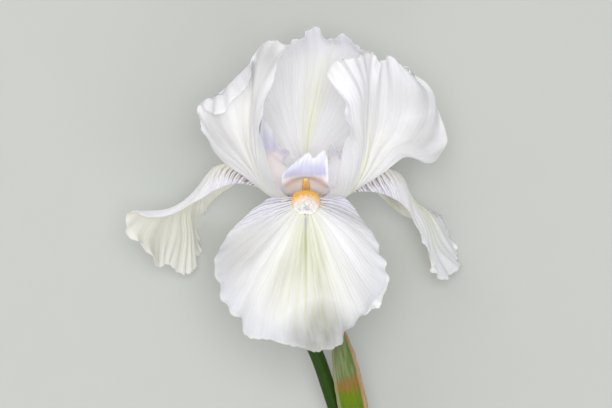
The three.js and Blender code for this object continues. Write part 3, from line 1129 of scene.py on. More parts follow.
STANDARD_BACK_NET = [
    STANDARD_CLAW,
    STANDARD_NECK,
    [[-11, 9.6, 13.5], [-4, 8.5, 15.5], [0, 8, 16], [3.5, 8.5, 15.5], [7.8, 10, 13.7]],
    [[-21, 24, 14], [-9, 24, 18.5], [-1, 23, 20], [8, 24, 18.5], [15, 26, 14.5]],
    [[-25, 39, 12], [-13, 37, 20], [-3.5, 36, 22.5], [8, 37, 20], [20, 39, 12]],
    [[-29, 50, 12], [-16, 50, 20], [-6, 49, 23.5], [6, 50, 20.5], [19, 50, 12]],
    [[-25, 54, 13.5], [-17, 57.5, 19.5], [-7, 57.5, 22.5], [5, 57.5, 19], [15, 56, 12.5]],
    [[-24, 56.5, 15], [-19.5, 60, 16.5], [-13.5, 62, 17.5], [-8, 61, 18], [-2.5, 65, 18.5], [2, 63, 16.5],
     [7, 60.5, 15.5], [13, 58, 13.5]],
]
STANDARD_LEFT_NET = [
    STANDARD_CLAW,
    STANDARD_NECK,
    [[-5.8, 8.2, 15.5], [-4, 8, 16], [0, 8, 16.2], [4, 9.5, 15.5], [7, 11.5, 15]],
    [[-11, 14.5, 23], [-7, 16, 22], [0, 18, 21], [6, 19.5, 21.5], [13, 22, 22.3]],
    [[-20, 18.8, 27.3], [-11, 25, 27.5], [0, 28, 24], [8, 30, 25.5], [16.5, 34, 27.4]],
    [[-22, 28, 32], [-12, 34, 30.5], [0, 38, 25], [9, 41, 27], [18, 43, 30.5]],
    [[-22, 36.5, 34.5], [-13, 44, 30.5], [0, 51, 24.5], [10, 54, 26], [20, 54, 29.5]],
    [[-20, 41, 35], [-11.5, 47.5, 30], [-1.5, 58, 24], [8, 65, 23], [20, 64, 24]],
    [[-19.5, 40, 34.5], [-7.5, 39.5, 33.5], [-1, 47.5, 29], [3.5, 55.5, 25.5], [4, 66, 23.5], [12, 72, 20.5],
     [18.5, 71, 18.5]],
]
STANDARD_RIGHT_NET = [
    STANDARD_CLAW,
    STANDARD_NECK,
    [[-7, 11.5, 15], [-4, 8.5, 16.5], [0, 7.5, 17.5], [4, 9, 18], [7.5, 12, 17.5]],
    [[-12, 20, 20.7], [-6, 18, 23], [0, 17, 23.6], [7, 15.5, 27], [12, 18, 30]],
    [[-17.5, 33, 25.5], [-8, 30, 27.5], [0, 28, 26.5], [12, 25, 32.5], [17.5, 19.8, 32.5]],
    [[-19.5, 39.2, 28.2], [-9, 36, 28.5], [0, 33.5, 27], [15, 28.5, 35], [28.5, 15.8, 38.5]],
    [[-20, 44.5, 28.5], [-10, 42, 29], [0, 39, 27.2], [16.5, 35, 34.5], [31, 24, 42.5]],
    [[-19.5, 51.5, 29], [-10, 52, 29.5], [0, 50, 27.5], [15, 46, 34], [30, 41.5, 40.5]],
    [[-20, 63, 19.5], [-16, 65.5, 22], [-12, 66.5, 25], [-6, 66, 26.5], [0, 66, 28.5], [1.5, 62, 30],
     [6, 62.5, 31], [11, 60, 33], [13, 55.5, 33], [18.5, 52.5, 34.5]],
]


def tones(x: ARRAY, low: float, high: float, count: int, seed: int) -> ARRAY:
    """Irregular wave about 0: a few sines of seeded frequency and phase, added up.

    Args:
        x: Where to read the wave.
        low: Lowest frequency, in turns per unit.
        high: Highest frequency.
        count: Number of sines.
        seed: Seed of the draw.

    Returns:
        The wave, with a spread of about 0.7.
    """
    draw = np.random.default_rng(seed)
    wave = np.zeros_like(x)
    for rate, phase in zip(draw.uniform(low, high, count), draw.uniform(0, 2 * math.pi, count)):
        wave = wave + np.sin(2 * math.pi * rate * x + phase)
    return wave / math.sqrt(count)


@dataclass(frozen=True)
class Fan:
    """How the veins run: slanting off the midrib along the haft, then fanning out of one point."""

    focus: float
    slant: float = 0.08
    half_width: float = 0.5
    haft_rate: float = 3.3

    def angle(self, s: ARRAY, v: ARRAY) -> ARRAY:
        """Number of the vein through a place, in radians of the fan.

        Beyond a slanting line through the focus it is the angle at the focus between the midrib and the
        place. Before that line the veins are parallel to it, and the number grows on towards the claw.

        Args:
            s: Place across, -1 to 1.
            v: Place along, 0 to 1.

        Returns:
            0 on the midrib beyond the focus, growing to both sides with the sign of s.
        """
        side = np.abs(s)
        ahead = v - self.focus
        past = ahead - self.slant * side
        widest = math.atan2(self.half_width, self.slant)
        fanned = np.arctan2(self.half_width * side, np.maximum(ahead, self.slant * side + 1e-9))
        return np.sign(s) * np.where(past > 0, fanned, widest - self.haft_rate * past)


@dataclass(frozen=True)
class Ruffle:
    """Waves and crenation of a petal's margin. Heights are in millimetres off the blade."""

    waves: float
    height: float
    turn: float
    crimp: float
    seed: int
    start: float = 0.35
    side_share: float = 1.6
    fine_share: float = 0.75
    scallops: float = 9.0
    scallop: float = 0.012
    side_scallop: float = 1.6
    wander: float = 0.35
    lobe: float = 0.004
    steep: int = 10

    def reach(self, s: ARRAY, v: ARRAY) -> ARRAY:
        """How near the margin a place is: the eighth root of the summed eighth powers of its two ways.

        Args:
            s: Place across, -1 to 1.
            v: Place along, 0 to 1.

        Returns:
            0 at the claw and 1 on the outer margin.
        """
        side = np.abs(s) * np.minimum(1.0, self.side_share * v)
        return np.minimum((v**8 + side**8) ** 0.125, 1.06)

    def height_off(self, fan: ARRAY, reach: ARRAY) -> ARRAY:
        """Height off the blade: slow waves and finer irregular ones, all dying away inwards.

        Args:
            fan: Number of the vein through each place.
            reach: How near the margin each place is.

        Returns:
            Heights in millimetres.
        """
        grow = np.clip((reach - self.start) / (1 - self.start), 0.0, None) ** 2
        broad = self.height * np.sin(self.waves * fan + 2 * math.pi * self.turn)
        middle = self.crimp * tones(fan, 1.8, 4.2, 5, self.seed) * grow
        fine = self.fine_share * self.crimp * tones(fan, 6, 11, 5, self.seed + 1) * grow**3
        return grow * (broad + middle + fine)

    def slide(self, grid: ARRAY, s: ARRAY, v: ARRAY) -> ARRAY:
        """Draws the margins in: irregular rounded scallops all round, and low lobes.

        The outer margin slides towards the claw and the side margins towards the midrib, by a share that
        dies away steeply inwards.

        Args:
            grid: Points of the blade, shape (rows, columns, 3).
            s: Place across, -1 to 1, of each point.
            v: Place along, 0 to 1, of each point.

        Returns:
            The points at their new places, same shape as grid.
        """
        place = self.scallops * s + self.wander * tones(s, 1.5, 4, 4, self.seed + 2)
        cusp = (1 - np.abs(np.sin(math.pi * place))) * (1 + 0.5 * tones(s, 2, 5, 3, self.seed + 8))
        tip = self.scallop * cusp + self.lobe * (1 + tones(s, 1.2, 2.6, 3, self.seed + 3))
        place = 2.0 * self.scallops * v + self.wander * tones(v, 3, 7, 4, self.seed + 4) + 0.5 * (s > 0)
        cusp = (1 - np.abs(np.sin(math.pi * place))) * smooth_step(0.35, 0.6, v)
        edge = self.side_scallop * self.scallop * cusp
        slid = resample(grid, v * (1 - np.clip(tip, 0, None) * v**self.steep))
        inner = s * (1 - np.clip(edge, 0, None) * np.abs(s) ** self.steep)
        turned = resample(np.swapaxes(slid, 0, 1), np.swapaxes((inner + 1) / 2, 0, 1))
        return np.swapaxes(turned, 0, 1)


@dataclass
class Petal(Piece):
    """A standard or a fall: a net, its ruffles and its finish."""

    name: str
    node: str
    slot: str
    whorl: Whorl
    net: NET
    ruffle: Ruffle
    fan: Fan
    finish: Finish
    thick: float = 0.42
    edge_thick: float = 0.16
    rib: float = 0.3
    rib_width: float = 0.03
    pleat: float = 0.14
    swell: float = 0.35
    columns: int = 200
    rows: int = 140

    def surface(self) -> tuple[ARRAY, ARRAY, ARRAY]:
        """Middle surface: the net, plus ruffles, low pleats along the veins and soft swellings.

        Returns:
            Points in millimetres, and the grids of s (-1 to 1 across) and v (0 to 1 along).
        """
        u = np.linspace(0.0, 1.0, self.columns + 1)
        v = np.linspace(0.0, 1.0, self.rows + 1)
        plain = net_surface(self.net, u, v)
        normal = grid_normals(plain)
        ss, vv = np.meshgrid(2 * u - 1, v)
        fan = self.fan.angle(ss, vv)
        seed = self.ruffle.seed
        pleat = self.pleat * tones(fan, 2.5, 5.5, 4, seed + 5) * smooth_step(0.15, 0.45, vv)
        swell = self.swell * tones(ss + 0.6 * vv, 0.4, 1.1, 2, seed + 6)
        swell = swell * tones(vv, 0.8, 1.8, 2, seed + 7) * smooth_step(0.35, 0.6, vv)
        height = self.ruffle.height_off(fan, self.ruffle.reach(ss, vv)) + pleat + swell
        return self.ruffle.slide(plain + normal * height[..., None], ss, vv), ss, vv

    def mesh(self) -> MeshData:
        """Closed blade, thinner at its margins, with its midrib swollen.

        Returns:
            The blade with values across, along, vein, rim and draw, which sets petals' noises apart.
        """
        middle, s, v = self.surface()
        edge = np.minimum(smooth_step(0.0, 0.12, 1 - np.abs(s)), smooth_step(0.0, 0.08, 1 - v))
        thick = self.edge_thick + (self.thick - self.edge_thick) * edge
        thick = thick + self.rib * np.exp(-((s / self.rib_width) ** 2)) * (1 - v)
        values = {"across": s, "along": v, "vein": self.fan.angle(s, v), "rim": self.ruffle.reach(s, v)}
        values["draw"] = np.full_like(s, 0.37 * self.ruffle.seed)
        data = shell(middle, thick / 2, values)
        data.points = to_row(data.points, self.whorl.value)
        return data


# --------------------------------------------------------------------------------------------------------
# What stands in the throat
# --------------------------------------------------------------------------------------------------------


@dataclass
class Beard(Piece):
    """A strip of short hairs along a fall's midrib."""

    name: str
    node: str
    fall: Petal
    reach: float
    seed: int
    slot: str = "beard"
    hairs: int = 4600
    start: float = 0.1
    half_width: float = 0.235
    taper: float = 0.36
    gap: float = 0.31
    crown: float = 2.4
    pad_edge: float = 0.06
    length: float = 0.85
    hair_radius: float = 0.14
    knee: float = 0.55
    knee_share: float = 0.8
    lean: float = 0.1
    lean_spread: float = 0.35
    end_lean: float = 0.8
    splay: float = 0.95
    splay_spread: float = 0.4
    bend: float = 0.3
    finish: Finish = BeardFinish()

    def _place(self, s: ARRAY, v: ARRAY) -> tuple[ARRAY, ARRAY]:
        """Points and inner normals of the fall under the beard.

        Args:
            s: Places across the beard, -1 to 1.
            v: Places along the beard, 0 to 1.

        Returns:
            Points and unit normals in millimetres, taken from the fall's grid by linear blends.
        """
        middle, _, _ = self.fall.surface()
        closing = np.sqrt(1 - np.clip((v - 0.6) / 0.41, 0, 1) ** 2)
        u = 0.5 + s * self.half_width * (1 - self.taper * v) * closing
        along = self.start + (self.reach - self.start) * v
        column, row = u * self.fall.columns, along * self.fall.rows
        i, j = column.astype(int), row.astype(int)
        a, b = (column - i)[..., None], (row - j)[..., None]

        def blend(grid: ARRAY) -> ARRAY:
            """Blends the four grid points round each place.

            Args:
                grid: Points or normals, shape (rows, columns, 3).

            Returns:
                Bilinear blends, shape (..., 3).
            """
            low = grid[j, i] * (1 - a) + grid[j, i + 1] * a
            high = grid[j + 1, i] * (1 - a) + grid[j + 1, i + 1] * a
            return low * (1 - b) + high * b

        return blend(middle), blend(-grid_normals(middle))

    def pad(self) -> MeshData:
        """Low rounded strip that the hairs stand on: a half ellipse across, closed at both ends.

        Returns:
            The strip in petal coordinates, in millimetres.
        """
        ss, vv = np.meshgrid(np.linspace(-1, 1, 17), np.linspace(0, 1, 61))
        base, normal = self._place(ss, vv)
        crown = self.crown * np.sqrt(np.clip(1 - ss**2, 0, 1)) * np.sqrt(np.sin(math.pi * (0.04 + 0.92 * vv)))
        half = self.pad_edge + crown / 2
        middle = base + normal * (self.gap + self.pad_edge + half)[..., None]
        return shell(middle, half, {"across": ss, "along": vv, "tip": np.zeros_like(vv)})

    def tuft(self) -> MeshData:
        """Hairs: three-sided cones in two steps, each bent towards the blade and away from the midrib.

        Returns:
            The hairs in petal coordinates, in millimetres, with tip 0 at the root and 1 at the tip.
        """
        draw = np.random.default_rng(self.seed)
        s = draw.uniform(-0.93, 0.93, self.hairs)
        v = draw.uniform(0.01, 0.985, self.hairs)
        root, normal = self._place(s, v)
        ahead = self._place(s, np.minimum(v + 0.01, 1.0))[0] - self._place(s, np.maximum(v - 0.01, 0.0))[0]
        ahead /= np.linalg.norm(ahead, axis=1, keepdims=True)
        across = np.cross(normal, ahead)
        outward = np.sign(np.sum(across * (self._place(np.minimum(s + 0.05, 1), v)[0] - root), axis=1))
        across = across * outward[:, None]
        arch = np.sqrt(np.clip(1 - s**2, 0.02, 1)) * np.sin(math.pi * (0.1 + 0.8 * v)) ** 0.4
        length = self.length * draw.uniform(0.5, 1.15, self.hairs) * (0.3 + 0.7 * arch)
        lean = self.lean + self.lean_spread * draw.normal(size=self.hairs)
        lean = lean + self.end_lean * smooth_step(0.85, 1.0, v)
        fan = self.splay * s + self.splay_spread * draw.normal(size=self.hairs)
        way = normal + ahead * lean[:, None] + across * fan[:, None]
        way /= np.linalg.norm(way, axis=1, keepdims=True)
        bend = way + draw.normal(0.0, self.bend, (self.hairs, 3)) + self.bend * (ahead + across * s[:, None])
        bend /= np.linalg.norm(bend, axis=1, keepdims=True)
        foot = root + normal * (self.gap + 0.1 + (self.crown - 0.3) * arch)[:, None]
        knee = foot + way * (self.knee * length)[:, None]
        tip = knee + bend * ((1 - self.knee) * length)[:, None]
        axes = ring_axes(way, -ahead)
        radii = np.full((self.hairs, 3), self.hair_radius)
        rings = [ring_points(foot, axes, radii), ring_points(knee, axes, self.knee_share * radii)]
        points = np.concatenate([*rings, tip[:, None]], axis=1)
        count = points.shape[1]
        first = np.arange(self.hairs)[:, None, None] * count
        k = np.arange(3)
        n = (k + 1) % 3
        quads = first + np.stack([k, n, n + 3, k + 3], axis=-1)
        caps = first + np.concatenate([np.stack([k + 3, n + 3, np.full(3, 6)], -1), [[0, 2, 1]]])
        rise = np.tile([0.0, 0.0, 0.0, 0.6, 0.6, 0.6, 1.0], self.hairs)
        values = {"across": np.repeat(s, count), "along": np.repeat(v, count), "tip": rise}
        return MeshData(points.reshape(-1, 3), quads.reshape(-1, 4), caps.reshape(-1, 3), values)

    def mesh(self) -> MeshData:
        """Pad and hairs together.

        Returns:
            Both as one mesh.
        """
        data = self.pad().joined(self.tuft())
        data.points = to_row(data.points, self.fall.whorl.value)
        return data


# Nets of the style arms, as the petals' nets.
STYLE_FOOT = [[-1.8, 3.6, 1.3], [0, 3.6, 2.4], [1.8, 3.6, 1.3]]
ARM_FRONT_NET = [
    STYLE_FOOT,
    [[-7.2, 8, 8.2], [0, 10.2, 9], [7.2, 8, 8.2]],
    [[-8.8, 11.4, 11.8], [0, 15.6, 11.4], [8.6, 11.4, 11.8]],
    [[-9, 14.6, 15.4], [-5, 17.6, 15.6], [0, 18.4, 16], [5, 17.6, 15.6], [8.5, 14.6, 15.4]],
    [[-8.8, 18.6, 16], [-4.5, 20.8, 16], [0, 22, 15.5], [4, 22, 15.5], [8.3, 20.5, 15.5]],
    [[-8, 19.8, 15.6], [-5, 22.4, 14.9], [-1.5, 25, 14.3], [1.1, 27, 14.2], [2.5, 24.8, 14.5],
     [6.8, 28, 14.8], [8, 24.6, 15]],
]
ARM_LEFT_NET = [
    STYLE_FOOT,
    [[-5.6, 8.4, 7], [0, 11.6, 6.8], [7, 7.2, 7.2]],
    [[-6.8, 14, 14.2], [0, 18.4, 15.6], [9.5, 13.4, 14]],
    [[-7.8, 16.4, 12.8], [0, 20.5, 14.5], [8.6, 24, 14.2]],
    [[-7.4, 18.4, 11.8], [-3.2, 20.8, 12], [1, 24.5, 12.8], [4, 30.5, 12.8], [8, 35.5, 14.4],
     [9.5, 29, 14.5]],
]
ARM_RIGHT_NET = [
    STYLE_FOOT,
    [[-7, 7.2, 7.2], [0, 11.6, 6.8], [5.6, 8.4, 7]],
    [[-9.2, 12.6, 12.6], [0, 18.2, 15.6], [6.8, 14, 14.2]],
    [[-8, 18.2, 11.5], [0, 19.8, 14], [6.4, 17.6, 13.6]],
    [[-8.5, 22, 10.5], [-5, 23, 11], [-1, 21, 12.5], [2.5, 22.5, 12.5], [5.5, 19.5, 13]],
]


@dataclass
class StyleArm(Piece):
    """Petal-like arm over a fall, with its crest."""

    name: str
    node: str
    whorl: Whorl
    net: NET
    seed: int
    finish: Finish
    slot: str = "style_arm"
    thick: float = 0.5
    edge_thick: float = 0.22
    columns: int = 90
    rows: int = 90
    wave: float = 0.25
    tooth: float = 0.008
    tooth_spread: float = 0.7

    def mesh(self) -> MeshData:
        """Closed blade on its net, with a low wave off the crest and fine teeth in its margin.

        Returns:
            The blade with values across and along.
        """
        u = np.linspace(0, 1, self.columns + 1)
        v = np.linspace(0, 1, self.rows + 1)
        plain = net_surface(self.net, u, v)
        uu, vv = np.meshgrid(u, v)
        wave = self.wave * tones(uu, 2, 5, 3, self.seed) * smooth_step(0.55, 1.0, vv)
        waved = plain + grid_normals(plain) * wave[..., None]
        bite = self.tooth * (1 + self.tooth_spread * tones(uu, 7, 15, 4, self.seed + 1))
        slid = resample(waved, vv * (1 - np.clip(bite, 0, None) * vv**8))
        side = np.abs(2 * uu - 1)
        edge = np.minimum(smooth_step(0, 0.15, 1 - side), smooth_step(0, 0.08, 1 - vv))
        thick = self.edge_thick + (self.thick - self.edge_thick) * edge
        data = shell(slid, thick / 2, {"across": 2 * uu - 1, "along": vv})
        data.points = to_row(data.points, self.whorl.value)
        return data


@dataclass
class Stamen(Piece):
    """Filament with its two-lobed anther."""

    name: str
    node: str
    whorl: Whorl
    slot: str = "stamen"
    path: Sequence[Sequence[float]] = (
        (0, 3, 7.2), (0, 6.6, 9.2), (0, 9.4, 11.2), (0, 13.2, 14.2), (0, 17.5, 16.9),
    )
    filament: float = 0.6
    taper: float = 0.25
    anther: float = 1.45
    start: float = 0.42
    blunt: float = 0.35
    seam: float = 0.32
    rings: int = 80
    sides: int = 28
    finish: Finish = AntherFinish()

    def mesh(self) -> MeshData:
        """Tube along the path. The anther's section is squeezed at its two sides' seams, where it splits.

        Returns:
            The tube with the value along.
        """
        s = np.linspace(0, 1, self.rings)
        t = np.clip((s - self.start) / (1 - self.start), 0, 1)
        oval = self.anther * np.clip(np.sin(math.pi * (0.06 + 0.88 * t)), 0, 1) ** self.blunt
        body = np.where(s < self.start, self.filament * (1 - self.taper * s), oval)
        squeeze = self.seam * smooth_step(0.05, 0.2, t)[:, None] * np.cos(ring_angles(self.sides)) ** 8
        radii = (body * rounded_ends(s, 0.012, 0.03))[:, None] * (1 - squeeze)
        data = swept(spline(np.array(self.path, float), s), radii, (1.0, 0.0, 0.0), {"along": s})
        data.points = to_row(data.points, self.whorl.value)
        return data


# --------------------------------------------------------------------------------------------------------
# Below the bloom
# --------------------------------------------------------------------------------------------------------


@dataclass
class FloralTube(Piece):
    """Rim, tube, ovary and the column under the style arms, turned round the bloom's axis."""

    name: str = "iris_floral_tube"
    node: str = "floral_tube"
    slot: str = "floral_tube"
    profile: Sequence[Sequence[float]] = (
        (0.02, -46.7), (1.5, -46.7), (2.8, -46.4), (3.8, -42), (4.2, -36), (4, -29), (3, -23), (2.7, -14),
        (3.4, -6), (6.1, -1.4), (6.6, -0.6), (6.5, -0.15), (3, -0.1), (2.2, 0.8), (2.1, 2.4), (1.6, 3.1),
        (0.02, 3.2),
    )
    sides: int = 72
    rings: int = 150
    lobe: float = 0.07
    ovary_at: float = -35.0
    ovary_length: float = 9.0
    finish: Finish = GreenFinish(
        "tube_skin", srgb(104, 130, 62), srgb(170, 184, 120), srgb(84, 108, 50), lines=12.0
    )

    def mesh(self) -> MeshData:
        """Turned profile whose ovary is drawn into three lobes, each with a shallow groove.

        Returns:
            The closed tube with values along and cut_face.
        """
        s = np.linspace(0, 1, self.rings)
        profile = spline(np.array([(r, y, 0.0) for r, y in self.profile]), s)
        radius, height = np.maximum(profile[:, 0], 0.02), profile[:, 1]
        angle = ring_angles(self.sides)
        ovary = np.exp(-(((height - self.ovary_at) / self.ovary_length) ** 2))
        lobes = np.cos(3 * angle) - 0.5 * np.cos(6 * angle) - 0.5
        ring = radius[:, None] * (1 + self.lobe * ovary[:, None] * lobes)
        up = np.broadcast_to(height[:, None], ring.shape)
        points = np.stack([ring * np.sin(angle), up, ring * np.cos(angle)], axis=-1)
        data = tube(points, {"along": s, "cut_face": np.zeros_like(s)})
        data.points = to_row(data.points, 0.0)
        return data


def beside_throat(points: ARRAY) -> ARRAY:
    """Metres in the part's frame of places [x, y, z] given in millimetres from the throat."""
    return (points + THROAT) * MM


@dataclass
class Stem(Piece):
    """Stem with the swollen node that bears the side bud, cut square at its lower end."""

    name: str = "iris_stem"
    node: str = "stem"
    slot: str = "stem"
    path: Sequence[Sequence[float]] = (
        (0, -43.75, -15.92), (0.4, -48, -17.5), (5.2, -60, -21.8), (10.8, -77, -27.2), (20.5, -107, -36.4),
        (35, -150, -49.2),
    )
    radius: float = 2.75
    swell: float = 0.75
    swell_at: float = 0.62
    swell_width: float = 0.04
    groove: float = 0.1875
    groove_at: float = 0.632
    groove_width: float = 0.004
    ribs: int = 14
    rib: float = 0.035
    rib_sink: float = 0.03
    hollow: float = 0.25
    end_rings: Sequence[float] = (0.96, 0.8, 0.5, 0.2, 0.01)
    rings: int = 220
    sides: int = 64
    finish: Finish = GreenFinish("stem_skin", srgb(46, 76, 19), srgb(27, 51, 9), srgb(20, 38, 7), lines=30.0)

    def mesh(self) -> MeshData:
        """Round tube with low ribs, a bell-shaped swelling at the node and a narrow groove in it.

        Extra rings, shares of the last one's radius, draw each end in to the middle of its face. They lie
        square to the stem's end. The lower face is hollow by one less the square of the share.

        Returns:
            The tube with values along and cut_face, which is 1 on the lower end's face.
        """
        s = np.linspace(0, 1, self.rings)
        even = even_steps(self.path, s)
        swell = self.swell * np.exp(-(((s - self.swell_at) / self.swell_width) ** 2))
        groove = self.groove * np.exp(-(((s - self.groove_at) / self.groove_width) ** 2))
        ribs = self.rib * np.cos(self.ribs * ring_angles(self.sides)) - self.rib_sink
        radii = (self.radius + swell - groove)[:, None] + ribs

        share = np.array(self.end_rings)
        extra = len(share)
        step = even[-1] - even[-2]
        inwards = -step / np.linalg.norm(step)
        head = np.repeat(even[:1] + 0.02 * (even[:1] - even[1:2]), extra, axis=0)
        tail = even[-1] + 0.02 * step + inwards * (self.hollow * (1 - share**2))[:, None]
        path = np.concatenate([head, even, tail])
        radii = np.concatenate([share[::-1, None] * radii[:1], radii, share[:, None] * radii[-1:]])
        tangent = np.pad(np.gradient(even, axis=0), ((extra, extra), (0, 0)), mode="edge")
        points = ring_points(path, ring_axes(tangent, (0.0, 0.0, 1.0)), radii)
        cut = np.repeat([0.0, 1.0], [self.rings + extra, extra])
        data = tube(points, {"along": np.pad(s, extra, mode="edge"), "cut_face": cut})
        data.points = beside_throat(data.points)
        return data


# The side bud's line from the stem's node to its tip, and the spathe's tip: [x, y, z] from the throat.
BUD_PATH = (
    (21.7, -107.8, -33.8), (21.2, -99, -27.8), (19.6, -85, -23.2), (16.8, -70, -19.5), (14.9, -60, -17.5),
)
SPATHE_TIP = (12.4, -46.0, -15.8)


@dataclass
class Bud(Piece):
    """Side bud: rolled petals that wind round it."""

    name: str = "iris_bud"
    node: str = "bud"
    slot: str = "bud"
    thin: float = 0.3
    swell: float = 3.0
    petals: int = 3
    winds: float = 1.4
    fold: float = 0.13
    rings: int = 120
    sides: int = 60
    finish: Finish = GreenFinish(
        "bud_skin", srgb(150, 160, 92), srgb(214, 212, 166), srgb(134, 140, 78), lines=18.0
    )

    def mesh(self) -> MeshData:
        """Spindle whose section is stepped like a spiral and turns on its way up.

        Returns:
            The spindle with values along and cut_face.
        """
        s = np.linspace(0, 1, self.rings)
        body = self.thin + self.swell * np.sin(math.pi * (0.06 + 0.88 * s)) ** 1.2
        wound = (self.petals * np.arange(self.sides) / self.sides + self.winds * s[:, None]) % 1.0
        fold = 1 - self.fold * smooth_step(0.0, 0.15, wound) * (1 - wound)
        radii = (body * rounded_ends(s, 0.01, 0.02))[:, None] * fold
        values = {"along": s, "cut_face": np.zeros_like(s)}
        data = swept(spline(np.array(BUD_PATH, float), s), radii, (0.0, 0.0, 1.0), values)
        data.points = beside_throat(data.points)
        return data


@dataclass
class Spathe(Piece):
    """One boat-shaped papery valve round the side bud."""

    name: str
    node: str
    middle: float
    reach: float
    seed: int
    slot: str = "spathe"
    neck: float = 0.5
    swell: float = 5.0
    thick: float = 0.34
    gap: float = math.radians(8)
    ribs: int = 16
    rib: float = 0.05
    crumple: float = 0.16
    edge_crumple: float = 0.22
    columns: int = 70
    rows: int = 150
    finish: Finish = SpatheFinish()

    def mesh(self) -> MeshData:
        """Half shell: a circle's arc round the bud's line, whose radius swells and closes to the tip.

        Low ribs run along it, and irregular waves crumple it, most of all at its side margins.

        Returns:
            The valve with values across and along.
        """
        v = np.linspace(0, 1, self.rows + 1)
        centre = even_steps([*BUD_PATH, SPATHE_TIP], v * self.reach, samples=500)
        side, face = (axis[:, None] for axis in ring_axes(np.gradient(centre, axis=0), (0.0, 0.0, 1.0)))
        uu, vv = np.meshgrid(np.linspace(0, 1, self.columns + 1), v)
        ss = 2 * uu - 1
        edge = self.edge_crumple * smooth_step(0.6, 1.0, np.abs(ss))
        crumple = self.crumple * tones(uu * 1.3 + 0.5 * vv, 2, 7, 4, self.seed)
        crumple = crumple + edge * tones(vv, 5, 11, 4, self.seed + 1)
        radius = self.neck + self.swell * np.sin(math.pi * (0.03 + 0.95 * vv**1.25)) ** 0.65
        radius = radius + crumple * np.sin(math.pi * np.clip(vv, 0.02, 0.98))
        radius = radius + self.rib * np.cos(2 * math.pi * self.ribs * uu)
        angle = self.middle + (math.pi / 2 - self.gap) * ss
        arc = face * np.cos(angle)[..., None] - side * np.sin(angle)[..., None]
        points = centre[:, None] + arc * radius[..., None]
        data = shell(points, np.full(uu.shape, self.thick / 2), {"across": ss, "along": vv})
        data.points = beside_throat(data.points)
        return data


# --------------------------------------------------------------------------------------------------------
# Studio
# --------------------------------------------------------------------------------------------------------


@dataclass(frozen=True)
class Lamp:
    """A square area lamp: its place and width in metres, and its power in watts."""

    name: str
    place: tuple[float, float, float]
    size: float
    power: float
    colour: Colour


@dataclass
class Studio:
    """Camera straight above the throat, pale floor and soft light."""

    # Camera: its height over the throat, millimetres per pixel at the throat, and how far up it is moved.
    distance: float = 900.0
    scale: float = 0.38
    photo_width: int = 612
    sensor: float = 36.0
    aim_shift: float = 1.14
    # Floor and light, in metres.
    floor_size: float = 6.0
    floor_level: float = -0.0004
    lamp_aim: Sequence[float] = (0.0, 0.0, 0.05)
    lamps: tuple[Lamp, ...] = (
        Lamp("key", (-0.5, 0.66, 0.85), 0.85, 2.7, (1.0, 0.99, 0.97)),
        Lamp("front", (0.02, 0.1, 1.3), 0.45, 8.4, (0.98, 0.99, 1.0)),
        Lamp("fill", (0.15, -0.8, 0.7), 0.7, 2.6, (1.0, 0.98, 0.97)),
    )
    sky: Colour = (0.94, 0.94, 0.95)
    sky_strength: float = 0.55

    def camera(self) -> None:
        """Camera at the photograph's angle: it looks along the row's -Z with +Y up in the picture."""
        data = bpy.data.cameras.new("camera")
        data.sensor_width = self.sensor
        data.lens = self.sensor * self.distance / (self.scale * self.photo_width)
        data.clip_start, data.clip_end = 0.05, 20.0
        camera = bpy.data.objects.new("camera", data)
        camera.location = ((THROAT + [0.0, self.aim_shift, self.distance]) * MM).tolist()
        bpy.context.scene.collection.objects.link(camera)
        bpy.context.scene.camera = camera

    def light(self, lamp: Lamp) -> None:
        """Adds a lamp that faces the bloom.

        Args:
            lamp: The lamp's sizes.
        """
        data = bpy.data.lights.new(lamp.name, "AREA")
        data.size, data.energy, data.color = lamp.size, lamp.power, lamp.colour
        light = bpy.data.objects.new(lamp.name, data)
        light.location = lamp.place
        light.rotation_mode = "QUATERNION"
        way = np.array(self.lamp_aim) - np.array(lamp.place)
        light.rotation_quaternion = Vector(way.tolist()).to_track_quat("-Z", "Y")
        bpy.context.scene.collection.objects.link(light)

    def floor(self) -> None:
        """Large plain floor just under the part."""
        half, level = self.floor_size / 2, self.floor_level
        mesh = bpy.data.meshes.new("studio_floor")
        corners = [(-half, -half, level), (half, -half, level), (half, half, level), (-half, half, level)]
        mesh.from_pydata(corners, [], [(0, 1, 2, 3)])
        mesh.materials.append(FloorFinish().material())
        floor = bpy.data.objects.new("studio_floor", mesh)
        bpy.context.scene.collection.objects.link(floor)

    def build(self) -> None:
        """Sets up the whole studio."""
        self.camera()
        self.floor()
        for lamp in self.lamps:
            self.light(lamp)
        world = bpy.data.worlds.new("studio")
        world.use_nodes = True
        background = next(n for n in world.node_tree.nodes if n.type == "BACKGROUND")
        background.inputs["Color"].default_value = (*self.sky, 1.0)
        background.inputs["Strength"].default_value = self.sky_strength
        scene = bpy.context.scene
        scene.world = world
        scene.view_settings.view_transform = "Standard"
        scene.cycles.use_denoising = True


# --------------------------------------------------------------------------------------------------------
# The flower
# --------------------------------------------------------------------------------------------------------


